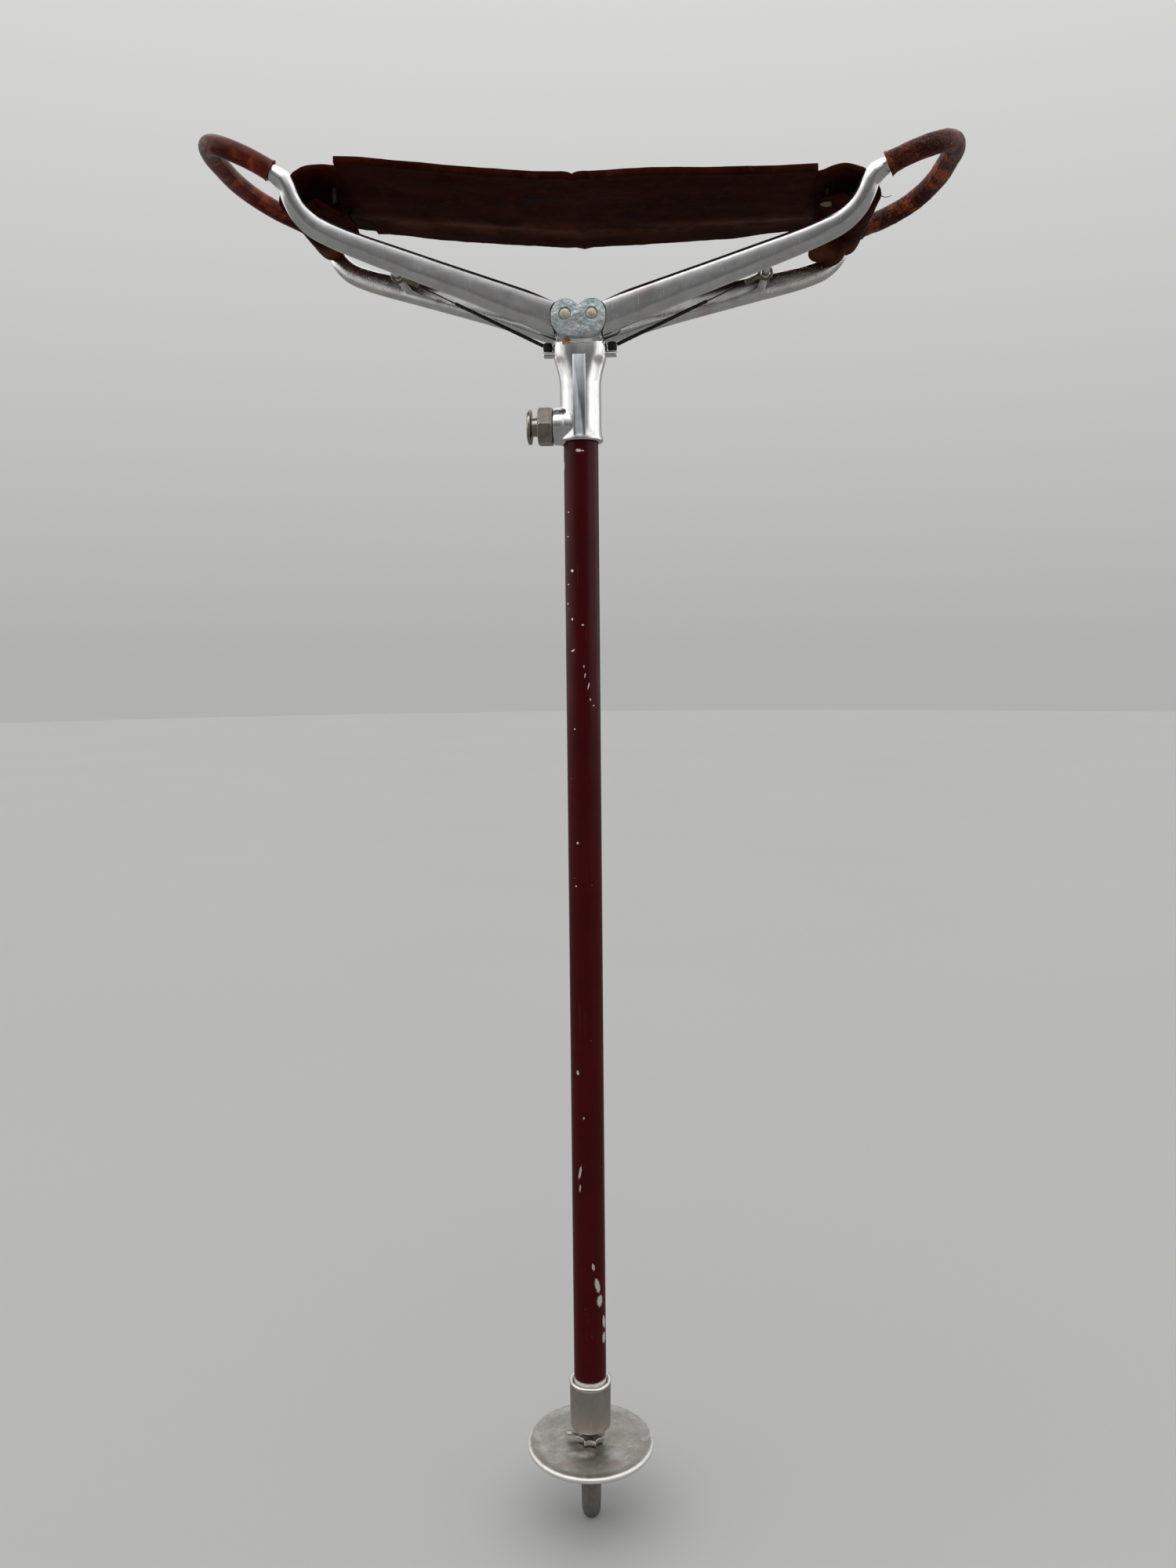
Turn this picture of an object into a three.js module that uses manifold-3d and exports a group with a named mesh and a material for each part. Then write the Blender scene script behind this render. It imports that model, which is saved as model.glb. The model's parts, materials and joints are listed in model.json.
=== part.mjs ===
// Folding seat stick: a tubular stick with a ground disc and spike at the foot and a cast head whose
// two forked wings open into a leather sling seat and fold up into one walking handle.
// Millimetres, +Z up. Origin: tip of the ground spike. +X towards the right wing, -Y to the front.
// Heights below are measured from the ground disc's underside; the last lines raise the whole
// object by the spike's length. Both wings are built as right wings and the left one is mirrored.
import * as THREE from 'three';
import { mergeVertices } from 'three/addons/utils/BufferGeometryUtils.js';
import Module from 'manifold-3d';

// ---------------------------------------------------------------- driving dimensions
const GAP = 0.3;                 // clearance between neighbouring pieces

const TUBE_R = 11.1;             // 7/8 inch tube
const TUBE_WALL = 1.5;
const TUBE_INNER_R = TUBE_R - TUBE_WALL;
const TUBE_Z0 = 19.0;
const TUBE_Z1 = 722.0;
const TUBE_HOLE_R = 3.5;         // holes for the plunger pin
const TUBE_HOLE_PITCH = 25;

const DISC_R = 44.0;             // ground disc
const DISC_T = 3.8;
const SPIKE_TIP_Z = -53.0;
const SPIKE_R = 7.0;
const STUD_R = 4.0;
const STUD_HOLE_R = STUD_R + GAP;
const STUD_TOP_Z = 44.0;
const PLUG_TOP_Z = 46;
const FERRULE_Z0 = 15.5;
const FERRULE_Z1 = 49.0;
const FERRULE_R = 14.45;

const HEAD_Z0 = 684.0;           // head casting
const BARREL_R = 13.1;
const BORE_R = 11.5;
const BORE_TOP_Z = 749.0;
const PIVOT_X = 8.35;            // wing pivots
const PIVOT_Z = 760.4;
const PIN_R = 3.65;
const CHEEK_Y = 17.0;            // outer face of each cheek
const CHEEK_T = 5.0;
const LOBE_R = 9.0;              // round lobes of the heart-shaped cheeks
const TONGUE_R = 7.95;           // wing tongue between the cheeks

const PLUNGER_Z = 694.5;         // spring plunger, axis along X
const BOSS_R = 11.6;
const BOSS_X = -17.6;            // outer face of the boss
const HEX_AF = 22.0;             // across flats
const HEX_LENGTH = 9.2;

const STRUT = { x: 116.0, z: 790.0 };  // cross strut of a wing
const STRUT_R = 2.5;
const BAR = { x: 169.8, z: 823.6 };    // sling bar of a wing
const BAR_R = 4.5;
const BEAD = { x: 20.5, z: 743.5 };    // stay cord anchor on the head

const TILT_RIGHT = -2.0;         // each open wing's angle above its nominal one, degrees
const TILT_LEFT = 0.2;           // (the stops in the head have worn unevenly)

const SLING_W = 128.0;           // sling, front to rear
const TAB_W = 104.0;             // narrower end tabs
const TAB_ARM_Y = 44.4;          // half width of the tab where it passes between the arms
const CREASE_X = 0.6;            // inner edge of each sling half
const RIVET_X = 150.5;
const RIVET_Y = 22;

const CORE_R = 4.5;              // metal core of the handle loops
const GRIP_RIGHT_R = 6.1;        // leather on the handle loops
const GRIP_LEFT_R = 5.7;
const GRIP_CLEARANCE = 0.35;     // between leather and core
const GRIP_START = 0.045;        // share of the loop left bare at each neck

const SIGNS = [-1, 1];           // front and rear in Y, or left and right in X

// wing arm centreline: X, Z, Y, height across the arm, thickness
const ARM = [
  [14.0, 758.4, 12.0, 21.6, 10.0],
  [30.0, 763.7, 15.8, 20.0, 10.0],
  [60.0, 773.5, 22.9, 17.8, 9.6],
  [85.0, 781.3, 29.0, 16.5, 9.4],
  [110.0, 789.1, 35.4, 15.3, 9.4],
  [130.0, 795.3, 41.0, 14.2, 9.6],
  [146.0, 801.0, 45.4, 13.6, 10.0],
  [157.0, 806.3, 48.2, 13.0, 10.2],
  [164.5, 813.3, 50.2, 12.2, 10.4],
  [168.6, 820.6, 51.6, 11.6, 10.6],
  [170.8, 826.8, 52.4, 11.2, 10.8],
  [174.6, 832.2, 53.0, 10.8, 10.8],
];
// handle loop centrelines, front half: X, Y, Z
const LOOP_RIGHT = [
  [172.5, -52.9, 831.2], [178.0, -54.2, 834.4], [194.0, -58.5, 841.2], [209.0, -54.0, 848.0],
  [218.5, -42.5, 852.8], [224.0, -24.0, 856.2], [225.6, 0.0, 858.0],
];
const LOOP_LEFT = [
  [172.5, -52.9, 831.2], [178.0, -53.6, 835.0], [193.0, -56.6, 843.0], [208.5, -54.8, 850.2],
  [219.8, -45.0, 855.4], [225.8, -25.0, 857.6], [227.0, 0.0, 858.0],
];

// ---------------------------------------------------------------- geometry and solids
const wasm = await Module();
wasm.setup();
const vec = (x, y, z) => new THREE.Vector3(x, y, z);
const vec2 = ([x, y]) => new THREE.Vector2(x, y);
const radians = (degrees) => (degrees * Math.PI) / 180;

// welds a geometry into a closed mesh that faces outwards, without collapsed triangles
function closed(geometry) {
  const loose = geometry.index ? geometry.toNonIndexed() : geometry.clone();
  loose.deleteAttribute('normal');
  loose.deleteAttribute('uv');
  const welded = mergeVertices(loose, 1e-4);
  const source = welded.index.array;
  const position = welded.getAttribute('position');
  const corner = (i) => vec().fromBufferAttribute(position, i);
  const kept = [];
  let volume = 0;
  for (let i = 0; i < source.length; i += 3) {
    const [a, b, c] = source.slice(i, i + 3);
    if (a === b || b === c || c === a) continue;
    kept.push(a, b, c);
    volume += corner(a).dot(corner(b).cross(corner(c)));
  }
  if (volume < 0) {
    for (let i = 0; i < kept.length; i += 3) [kept[i], kept[i + 1]] = [kept[i + 1], kept[i]];
  }
  welded.setIndex(kept);
  return welded;
}

function solid(geometry) {
  const mesh = closed(geometry);
  return new wasm.Manifold(new wasm.Mesh({
    numProp: 3,
    vertProperties: new Float32Array(mesh.getAttribute('position').array),
    triVerts: new Uint32Array(mesh.index.array),
  }));
}

function geometryOf(manifold) {
  const mesh = manifold.getMesh();
  const geometry = new THREE.BufferGeometry();
  const position = new Float32Array(mesh.vertProperties);
  geometry.setAttribute('position', new THREE.BufferAttribute(position, 3));
  geometry.setIndex(new THREE.BufferAttribute(new Uint32Array(mesh.triVerts), 1));
  return geometry;
}

const add = (...solids) => solids.reduce((sum, next) => sum.add(next));
const cut = (body, ...tools) => tools.reduce((rest, tool) => rest.subtract(tool), body);

// Surfaces of revolution. Profiles are [radius, place on the axis] pairs that start and end on the
// axis; ring() takes one that stays off the axis and closes it on itself.
const latheY = (profile, segments) => new THREE.LatheGeometry(profile.map(vec2), segments);
const lathe = (profile, segments) => latheY(profile, segments).rotateX(Math.PI / 2);
const ring = (profile, segments) => lathe([...profile, profile[0]], segments);
// about the plunger's axis
const latheX = (profile, segments) => (
  latheY(profile, segments).rotateZ(-Math.PI / 2).translate(0, 0, PLUNGER_Z)
);

const rodProfile = (r, start, end) => [[0, start], [r, start], [r, end], [0, end]];
const rod = (r, z0, z1, segments) => lathe(rodProfile(r, z0, z1), segments);
const rodX = (r, x0, x1, segments) => solid(latheX(rodProfile(r, x0, x1), segments));
// centred on Y = 0
const rodY = (r, { x, z }, halfLength, segments) => (
  solid(new THREE.CylinderGeometry(r, r, 2 * halfLength, segments).translate(x, 0, z))
);

// box between two values, in either order, on each axis
function box([x0, x1], [y0, y1], [z0, z1]) {
  const geometry = new THREE.BoxGeometry(Math.abs(x1 - x0), Math.abs(y1 - y0), Math.abs(z1 - z0));
  return solid(geometry.translate((x0 + x1) / 2, (y0 + y1) / 2, (z0 + z1) / 2));
}

const extrude = (shape, depth) => (
  new THREE.ExtrudeGeometry(shape, { depth, bevelEnabled: false, curveSegments: 12 })
);
const sweep = (shape, extrudePath, steps) => (
  new THREE.ExtrudeGeometry(shape, { steps, bevelEnabled: false, extrudePath })
);
const circle = (r, count) => Array.from({ length: count }, (_, i) => {
  const angle = (i * 2 * Math.PI) / count;
  return vec2([r * Math.cos(angle), r * Math.sin(angle)]);
});

// plate with its outline in X and Z, between two Y values in either order
function plateXZ(outline, y0, y1, holes = []) {
  const wound = (points, clockwise) => {
    const loop = points.map(vec2);
    return THREE.ShapeUtils.isClockWise(loop) === clockwise ? loop : loop.reverse();
  };
  const shape = new THREE.Shape(wound(outline, false));
  for (const hole of holes) shape.holes.push(new THREE.Path(wound(hole, true)));
  const plate = extrude(shape, Math.abs(y1 - y0)).rotateX(Math.PI / 2);
  return solid(plate.translate(0, Math.max(y0, y1), 0));
}

// [x, z] points on an arc about the right pivot
const pivotArc = (r, startDegrees, stepDegrees, count) => Array.from({ length: count }, (_, i) => {
  const angle = radians(startDegrees + i * stepDegrees);
  return [PIVOT_X + r * Math.cos(angle), PIVOT_Z + r * Math.sin(angle)];
});

// Loft through stations {centre, up, across, height, thickness, exponent}: height lies along up,
// thickness along across, and a higher exponent gives squarer corners.
function loft(stations, sides) {
  const spans = stations.length - 1;
  const geometry = new THREE.CylinderGeometry(1, 1, 1, sides, spans);
  const position = geometry.getAttribute('position');
  const power = (value, exponent) => Math.sign(value) * Math.pow(Math.abs(value), 2 / exponent);
  for (let i = 0; i < position.count; i++) {
    const x = position.getX(i);
    const z = position.getZ(i);
    const station = stations[Math.round((position.getY(i) + 0.5) * spans)];
    const point = station.centre.clone();
    // the middle vertices of the end caps stay on the centreline
    if (Math.hypot(x, z) > 0.5) {
      const angle = Math.atan2(z, x);
      const { up, across, height, thickness, exponent } = station;
      point.addScaledVector(across, (power(Math.cos(angle), exponent) * thickness) / 2);
      point.addScaledVector(up, (power(Math.sin(angle), exponent) * height) / 2);
    }
    position.setXYZ(i, point.x, point.y, point.z);
  }
  return solid(geometry);
}

// ---------------------------------------------------------------- materials
const material = (settings) => new THREE.MeshStandardMaterial(settings);
const maroonPaint = material({ color: 0x3c0a10, roughness: 0.25, metalness: 0.3 });
const polishedAluminium = material({ color: 0xc4c6c6, roughness: 0.22, metalness: 1.0 });
const dullAluminium = material({ color: 0xa9a59c, roughness: 0.5, metalness: 1.0 });
const dullSteel = material({ color: 0x8a857c, roughness: 0.5, metalness: 1.0 });
const brass = material({ color: 0xb7a877, roughness: 0.4, metalness: 1.0 });
const blackRubber = material({ color: 0x0c0c0c, roughness: 0.6, metalness: 0.0 });
const gripLeather = material({ color: 0x4a1e17, roughness: 0.45, metalness: 0.0 });
const slingLeather = material({ color: 0x1c0e0a, roughness: 0.5, metalness: 0.0 });

// ---------------------------------------------------------------- stick
function shaftTube() {
  const tube = solid(ring([
    [TUBE_INNER_R, TUBE_Z0], [TUBE_R, TUBE_Z0], [TUBE_R, TUBE_Z1], [TUBE_INNER_R, TUBE_Z1],
  ], 32));
  // through the left wall only
  const hole = (z) => {
    const drill = new THREE.CylinderGeometry(TUBE_HOLE_R, TUBE_HOLE_R, 8, 16);
    return solid(drill.rotateZ(Math.PI / 2).translate(-TUBE_R, 0, z));
  };
  return cut(tube, hole(PLUNGER_Z), hole(PLUNGER_Z - TUBE_HOLE_PITCH));
}

function endPlug() {
  const outerR = TUBE_INNER_R - GAP;
  const bottom = TUBE_Z0 + GAP;
  return ring([
    [STUD_HOLE_R, bottom], [outerR, bottom], [outerR, PLUG_TOP_Z], [STUD_HOLE_R, PLUG_TOP_Z],
  ], 20);
}

const ferrule = () => ring([
  [STUD_HOLE_R, FERRULE_Z0], [13.0, FERRULE_Z0], [13.95, FERRULE_Z0 + 0.9],
  [14.15, FERRULE_Z1 - 3], [FERRULE_R, FERRULE_Z1 - 1.9], [FERRULE_R - 0.1, FERRULE_Z1 - 0.5],
  [13.4, FERRULE_Z1], [12.3, FERRULE_Z1 - 0.4], [11.5, FERRULE_Z1 - 1.8],
  [11.5, TUBE_Z0 - GAP], [STUD_HOLE_R, TUBE_Z0 - GAP],
], 28);

// spike with the stud above it
const spike = () => lathe([
  [0, SPIKE_TIP_Z], [2.6, SPIKE_TIP_Z + 0.5], [4.6, SPIKE_TIP_Z + 2], [5.8, SPIKE_TIP_Z + 4.6],
  [6.2, SPIKE_TIP_Z + 8], [SPIKE_R - 0.1, -8], [SPIKE_R, 0], [SPIKE_R - 0.6, 0.6],
  [STUD_R, 0.6], [STUD_R, STUD_TOP_Z], [0, STUD_TOP_Z],
], 20);

// disc with a raised rim and a recess underneath for the spike's shoulder
const groundDisc = () => ring([
  [STUD_HOLE_R, 0.9], [SPIKE_R + 0.6, 0.9], [SPIKE_R + 0.6, 0], [DISC_R - 2.2, 0],
  [DISC_R - 0.6, 0.7], [DISC_R, 2.1], [DISC_R - 0.5, 3.7], [DISC_R - 1.9, 4.4],
  [DISC_R - 3.6, 3.7], [DISC_R - 5.5, DISC_T - 0.4], [22, DISC_T - 0.1], [STUD_HOLE_R, DISC_T],
], 40);

function starLockNut() {
  const points = 8;
  const tipR = 9.2;
  const valleyR = 7.4;
  const bottom = 4.3;
  const thickness = 3.4;
  const tabThickness = 1.6;
  const tabSlope = 0.09;         // radians, rising to the left
  const outline = [];
  for (let i = 0; i < points * 2; i++) {
    const angle = ((i + 1) * Math.PI) / points;
    const r = i % 2 ? valleyR : tipR;
    outline.push(vec2([r * Math.cos(angle), r * Math.sin(angle)]));
  }
  const star = new THREE.Shape(outline);
  star.holes.push(new THREE.Path().absarc(0, 0, STUD_HOLE_R, 0, Math.PI * 2, true));
  // tab on the left, X and Y
  const tab = new THREE.Shape([
    [-6.2, -3.0], [-15.6, -3.4], [-16.6, -2.2], [-16.6, 2.2], [-15.6, 3.4], [-6.2, 3.0],
  ].map(vec2));
  return add(
    solid(extrude(star, thickness).translate(0, 0, bottom)),
    solid(extrude(tab, tabThickness).rotateY(tabSlope).translate(0, 0, bottom + 0.9)),
  );
}

// ---------------------------------------------------------------- head
const lobeArc = (r) => pivotArc(r, 128, -8.5, 17);
const [leftPinHole, rightPinHole] = SIGNS.map((sign) => (
  rodY(PIN_R + GAP, { x: sign * PIVOT_X, z: PIVOT_Z }, 25, 20)
));

function headCasting() {
  // cheek outline, X and Z: right half, then its mirror image
  const rightHalf = [
    ...lobeArc(LOBE_R), [17.0, 756.0], [16.2, 752.8], [14.6, 750.2], [12.0, 748.2],
    [8.0, 747.0], [4.0, 746.6],
  ];
  const leftHalf = rightHalf.map(([x, z]) => [-x, z]).reverse();
  const heart = [[0, 765.4], ...rightHalf, [0, 746.5], ...leftHalf];
  const cheeks = SIGNS.map((sign) => plateXZ(heart, sign * (CHEEK_Y - CHEEK_T), sign * CHEEK_Y));

  const barrel = solid(lathe([
    [0, HEAD_Z0], [14.0, HEAD_Z0], [14.3, HEAD_Z0 + 1.8], [13.7, HEAD_Z0 + 4.5],
    [BARREL_R, HEAD_Z0 + 8.5], [BARREL_R, 724], [0, 724],
  ], 32));
  // shoulder between barrel and cheeks: Z, half size in X, half size in Y, corner exponent
  const shoulder = loft([
    [716, 12.9, 12.9, 2], [722, 13.3, 13.1, 2], [727, 14.1, 13.2, 2.1], [732, 15.4, 13.3, 2.2],
    [737, 16.8, 13.5, 2.4], [742, 17.3, 13.7, 2.5], [745, 17.0, 13.7, 2.5],
    [748.4, 15.2, 13.6, 2.5],
  ].map(([z, halfX, halfY, exponent]) => ({
    centre: vec(0, 0, z),
    up: vec(0, 1, 0),
    across: vec(1, 0, 0),
    height: halfY * 2,
    thickness: halfX * 2,
    exponent,
  })), 24);
  const floor = box([-14.3, 14.3], [-12.6, 12.6], [746, 751.9]);
  const strip = box([-4, 4], [-13.6, 13.6], [689, 731]);  // stands proud at front and rear
  const boss = solid(latheX([
    [0, BOSS_X], [BOSS_R - 0.6, BOSS_X], [BOSS_R, BOSS_X + 0.7], [BOSS_R, -6],
    [BOSS_R - 1, 2], [0, 2],
  ], 24));
  // one below each cord bead
  const lugs = SIGNS.map((sign) => box([sign * 13, sign * 23.2], [-3.3, 3.3], [737.6, 739.8]));

  const bore = solid(rod(BORE_R, HEAD_Z0 - 6, BORE_TOP_Z, 32));
  const bossBore = rodX(7.4, BOSS_X - 1, -8, 20);
  return cut(
    add(barrel, shoulder, ...cheeks, floor, strip, boss, ...lugs),
    bore, bossBore, leftPinHole, rightPinHole,
  );
}

function pivotPin(sign) {
  const half = CHEEK_Y + 0.3;
  const endR = 2.4;
  const bevel = 0.6;             // length of the bevel at each end
  return latheY([
    [0, -half], [endR, -half], [PIN_R, -half + bevel],
    [PIN_R, half - bevel], [endR, half], [0, half],
  ], 16).translate(sign * PIVOT_X, 0, PIVOT_Z);
}

// ---------------------------------------------------------------- spring plunger
function plungerHousing() {
  const hexR = HEX_AF / Math.sqrt(3);
  const hex = new THREE.CylinderGeometry(hexR, hexR, HEX_LENGTH, 6)
    .rotateZ(Math.PI / 2)
    .translate(BOSS_X - GAP - HEX_LENGTH / 2, 0, PLUNGER_Z);
  const spigot = rodX(7.05, BOSS_X - 2, -11.9, 20);
  const springBore = rodX(5.2, -10, -25.2, 16);
  const outlet = rodX(3.4, -24, -29, 14);
  return cut(add(solid(hex), spigot), springBore, outlet);
}

const plungerPin = () => latheX([
  [0, -8.8], [2.4, -8.8], [3.0, -9.4], [3.0, -12.6], [4.7, -12.6], [4.7, -14.3],
  [3.0, -14.3], [3.0, -33.0], [0, -33.0],
], 14);

const plungerKnob = () => latheX([
  [0, -33.3], [3.35, -33.3], [3.35, -27.4], [6.2, -27.4], [6.2, -31.5], [10.4, -31.5],
  [11.0, -32.0], [11.0, -33.6], [9.6, -34.2], [5.0, -34.6], [0, -34.7],
], 20);

function plungerSpring() {
  const turns = 5;
  const steps = 50;
  const coilR = 4.1;
  const wireR = 0.45;
  const startX = -15.2;
  const length = 9.4;
  const coil = [];
  for (let i = 0; i <= steps; i++) {
    const share = i / steps;
    const angle = share * turns * Math.PI * 2;
    const z = PLUNGER_Z + coilR * Math.sin(angle);
    coil.push(vec(startX - length * share, coilR * Math.cos(angle), z));
  }
  return sweep(new THREE.Shape(circle(wireR, 5)), new THREE.CatmullRomCurve3(coil), steps);
}

// ---------------------------------------------------------------- wings
function loopCurve(frontHalf) {
  const rearHalf = frontHalf.slice(0, -1).reverse().map(([x, y, z]) => [x, -y, z]);
  return new THREE.CatmullRomCurve3([...frontHalf, ...rearHalf].map((point) => vec(...point)));
}

// place() puts a piece built as a right-hand one on its own side
const SIDES = [
  {
    side: 'right', tilt: TILT_RIGHT, loop: loopCurve(LOOP_RIGHT), gripR: GRIP_RIGHT_R,
    place: (geometry) => geometry,
  },
  {
    side: 'left', tilt: TILT_LEFT, loop: loopCurve(LOOP_LEFT), gripR: GRIP_LEFT_R,
    place: (geometry) => closed(geometry).scale(-1, 1, 1),
  },
];

// turns a piece of a wing about its pivot, a positive angle raising the wing
const tilted = (geometry, degrees) => geometry
  .translate(-PIVOT_X, 0, -PIVOT_Z)
  .rotateY(-radians(degrees))
  .translate(PIVOT_X, 0, PIVOT_Z);

function tiltedPoint({ x, z }, degrees) {
  const cos = Math.cos(radians(degrees));
  const sin = Math.sin(radians(degrees));
  const dx = x - PIVOT_X;
  const dz = z - PIVOT_Z;
  return { x: PIVOT_X + dx * cos - dz * sin, z: PIVOT_Z + dx * sin + dz * cos };
}

// front (sign -1) or rear (sign 1) arm
function wingArm(sign) {
  const count = 17;
  const centreline = new THREE.CatmullRomCurve3(ARM.map(([x, z, y]) => vec(x, sign * y, z)));
  const sizes = new THREE.CatmullRomCurve3(
    ARM.map(([, , , height, thickness]) => vec(height, thickness, 0)),
  );
  const stations = [];
  for (let i = 0; i < count; i++) {
    const share = i / (count - 1);
    const direction = centreline.getTangent(share);
    const level = vec(direction.x, 0, direction.z).normalize();
    const up = vec(-level.z, 0, level.x);
    const { x: height, y: thickness } = sizes.getPoint(share);
    stations.push({
      centre: centreline.getPoint(share),
      up,
      across: vec().crossVectors(direction, up).normalize(),
      height,
      thickness,
      exponent: 3.2 - 1.1 * share * share,   // squarish at the head, rounder at the handle
    });
  }
  return loft(stations, 12);
}

function wingFrame(tilt, loop) {
  // knuckle between the arms, with sloping top and bottom edges
  const top = (x) => 769.6 + 0.287 * (x - 14.15);
  const bottom = (x) => 747.9 + 0.37 * (x - 15.9);
  const knuckleY = CHEEK_Y - 0.1;
  const knuckle = plateXZ([
    [9, bottom(15.9)], [15.9, bottom(15.9)], [25, bottom(25)], [25, top(25)], [9, top(9)],
  ], -knuckleY, knuckleY);

  // space kept clear around the heart-shaped cheeks
  const clear = 0.35;
  const cheekSpace = plateXZ([
    ...lobeArc(LOBE_R + clear), [17.0 + clear, 756.0], [16.2 + clear, 752.8],
    [15.4, 750.0], [15.4, 740], [-20, 740], [-20, 790], [0, 790],
  ], -30, 30);
  // relief for the stay cord
  const groove = plateXZ([[15, 740], [30, 740], [30, 755.5], [15, 750.2]], -3.2, 3.2);
  const tongue = plateXZ([
    ...pivotArc(TONGUE_R, 110, 10, 19), [17.5, 755.0], [22.5, 757.5], [22.5, 770.5],
  ], -11.7, 11.7);
  const strut = rodY(STRUT_R, STRUT, 35, 12);
  const bar = rodY(BAR_R, BAR, 50, 16);
  const core = solid(sweep(new THREE.Shape(circle(CORE_R, 10)), loop, 26));

  const turned = (part) => solid(tilted(geometryOf(part), tilt));
  const body = cut(turned(add(...SIGNS.map(wingArm), knuckle)), cheekSpace, groove);
  return geometryOf(cut(add(body, turned(add(tongue, strut, bar, core))), rightPinHole));
}

// leather sleeve on a handle loop
function handleWrap(tilt, loop, gripR) {
  const points = [];
  for (let i = 0; i <= 40; i++) {
    points.push(loop.getPointAt(GRIP_START + ((1 - 2 * GRIP_START) * i) / 40));
  }
  const section = new THREE.Shape(circle(gripR, 12));
  section.holes.push(new THREE.Path(circle(CORE_R + GRIP_CLEARANCE, 10).reverse()));
  return tilted(sweep(section, new THREE.CatmullRomCurve3(points), 24), tilt);
}

// ---------------------------------------------------------------- stay cords
// the cord runs from the bead on the head to an eye round the wing's strut
function stayCord(tilt) {
  const eyeR = 3.9;
  const eyeWireR = 0.9;
  const eyeAt = tiltedPoint(STRUT, tilt);
  const start = vec(BEAD.x, 0, BEAD.z);
  const direction = vec(eyeAt.x, 0, eyeAt.z).sub(start);
  const shankEnd = direction.length() - eyeR + 0.2;
  direction.normalize();
  // lays the geometry's +Z along the cord, starting at the bead
  const rear = vec(0, 1, 0);
  const frame = new THREE.Matrix4()
    .makeBasis(rear, vec().crossVectors(direction, rear), direction)
    .setPosition(start);
  const along = (geometry) => geometry.applyMatrix4(frame);

  const bead = lathe([
    [0, -3.3], [2.0, -3.1], [2.8, -2.0], [3.0, 0], [2.8, 2.0], [1.9, 3.1], [0, 3.4],
  ], 16).translate(BEAD.x, 0, BEAD.z);
  const sleeve = along(ring([[0.75, 3.9], [1.15, 3.9], [1.15, 66], [0.75, 66]], 12));
  const wire = along(rod(0.4, 40, 91.6, 10));
  const shank = along(lathe([
    [0, 92], [1.2, 92], [1.7, 92.8], [1.4, 93.6], [1.7, 94.4], [1.4, 95.2], [1.7, 96],
    [1.4, 96.8], [1.7, 97.6], [1.4, 98.4], [1.5, shankEnd], [0, shankEnd],
  ], 8));
  const hoop = new THREE.TorusGeometry(eyeR, eyeWireR, 6, 16)
    .rotateX(Math.PI / 2)
    .translate(eyeAt.x, 0, eyeAt.z);
  return { bead, sleeve, wire, eye: geometryOf(add(solid(shank), solid(hoop))) };
}

// ---------------------------------------------------------------- sling seat
// one of the two halves that meet at the centre crease
function slingHalf() {
  // strap edge, X and Z: top face out to the bar, round it, and back along the underside
  const outline = [
    [CREASE_X, 827.2], [57, 831.2], [100, 833.6], [135, 835.6], [150, 836.8], [160, 836.6],
    [168, 834.6], [174.6, 831], [178, 826.8], [178.6, 822.4], [176.8, 818], [172.6, 815],
    [167, 814.6], [160, 819.0], [154.8, 824.4], [146.5, 824.6], [146.5, 829.2], [142, 832.4],
    [135, 832.2], [100, 830.2], [57, 827.8], [CREASE_X, 823.8],
  ];
  // opening round the bar, X and Z
  const barOpening = [
    [157, 833.3], [163, 832.6], [169.5, 830.9], [174, 827.2], [175.3, 822.6], [173.6, 819.2],
    [169, 817.7], [163.5, 820.8], [157.4, 827.2],
  ];
  const strap = plateXZ(outline, -SLING_W / 2, SLING_W / 2, [barOpening]);
  // narrows the strap from x outwards
  const trims = (x, halfWidth) => SIGNS.map((sign) => (
    box([x, 190], [sign * halfWidth, sign * 80], [800, 850])
  ));
  const holes = SIGNS.map((sign) => (
    solid(rod(1.9, 815, 845, 10).translate(RIVET_X, sign * RIVET_Y, 0))
  ));
  return geometryOf(cut(strap, ...trims(140, TAB_W / 2), ...trims(154, TAB_ARM_Y), ...holes));
}

const slingRivet = (sign) => lathe([
  [0, 822.0], [1.8, 822.3], [3.2, 823.3], [3.2, 824.1], [1.6, 824.1], [1.6, 837.2],
  [3.0, 837.2], [2.6, 837.8], [0, 838.0],
], 10).translate(RIVET_X, sign * RIVET_Y, 0);

// shears a copy so that the crease stays where it is and the bar end follows the wing's tilt
function hung(geometry, tilt) {
  const copy = geometry.clone();
  const position = copy.getAttribute('position');
  const bar = tiltedPoint(BAR, tilt);
  for (let i = 0; i < position.count; i++) {
    const x = position.getX(i);
    const share = (x - CREASE_X) / (BAR.x - CREASE_X);
    position.setX(i, x + share * (bar.x - BAR.x));
    position.setZ(i, position.getZ(i) + share * (bar.z - BAR.z));
  }
  return copy;
}

// ---------------------------------------------------------------- assembly
const object = new THREE.Group();
function piece(name, source, pieceMaterial) {
  const geometry = source instanceof THREE.BufferGeometry ? closed(source) : geometryOf(source);
  geometry.computeVertexNormals();
  const mesh = new THREE.Mesh(geometry, pieceMaterial);
  mesh.name = name;
  object.add(mesh);
}

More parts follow.
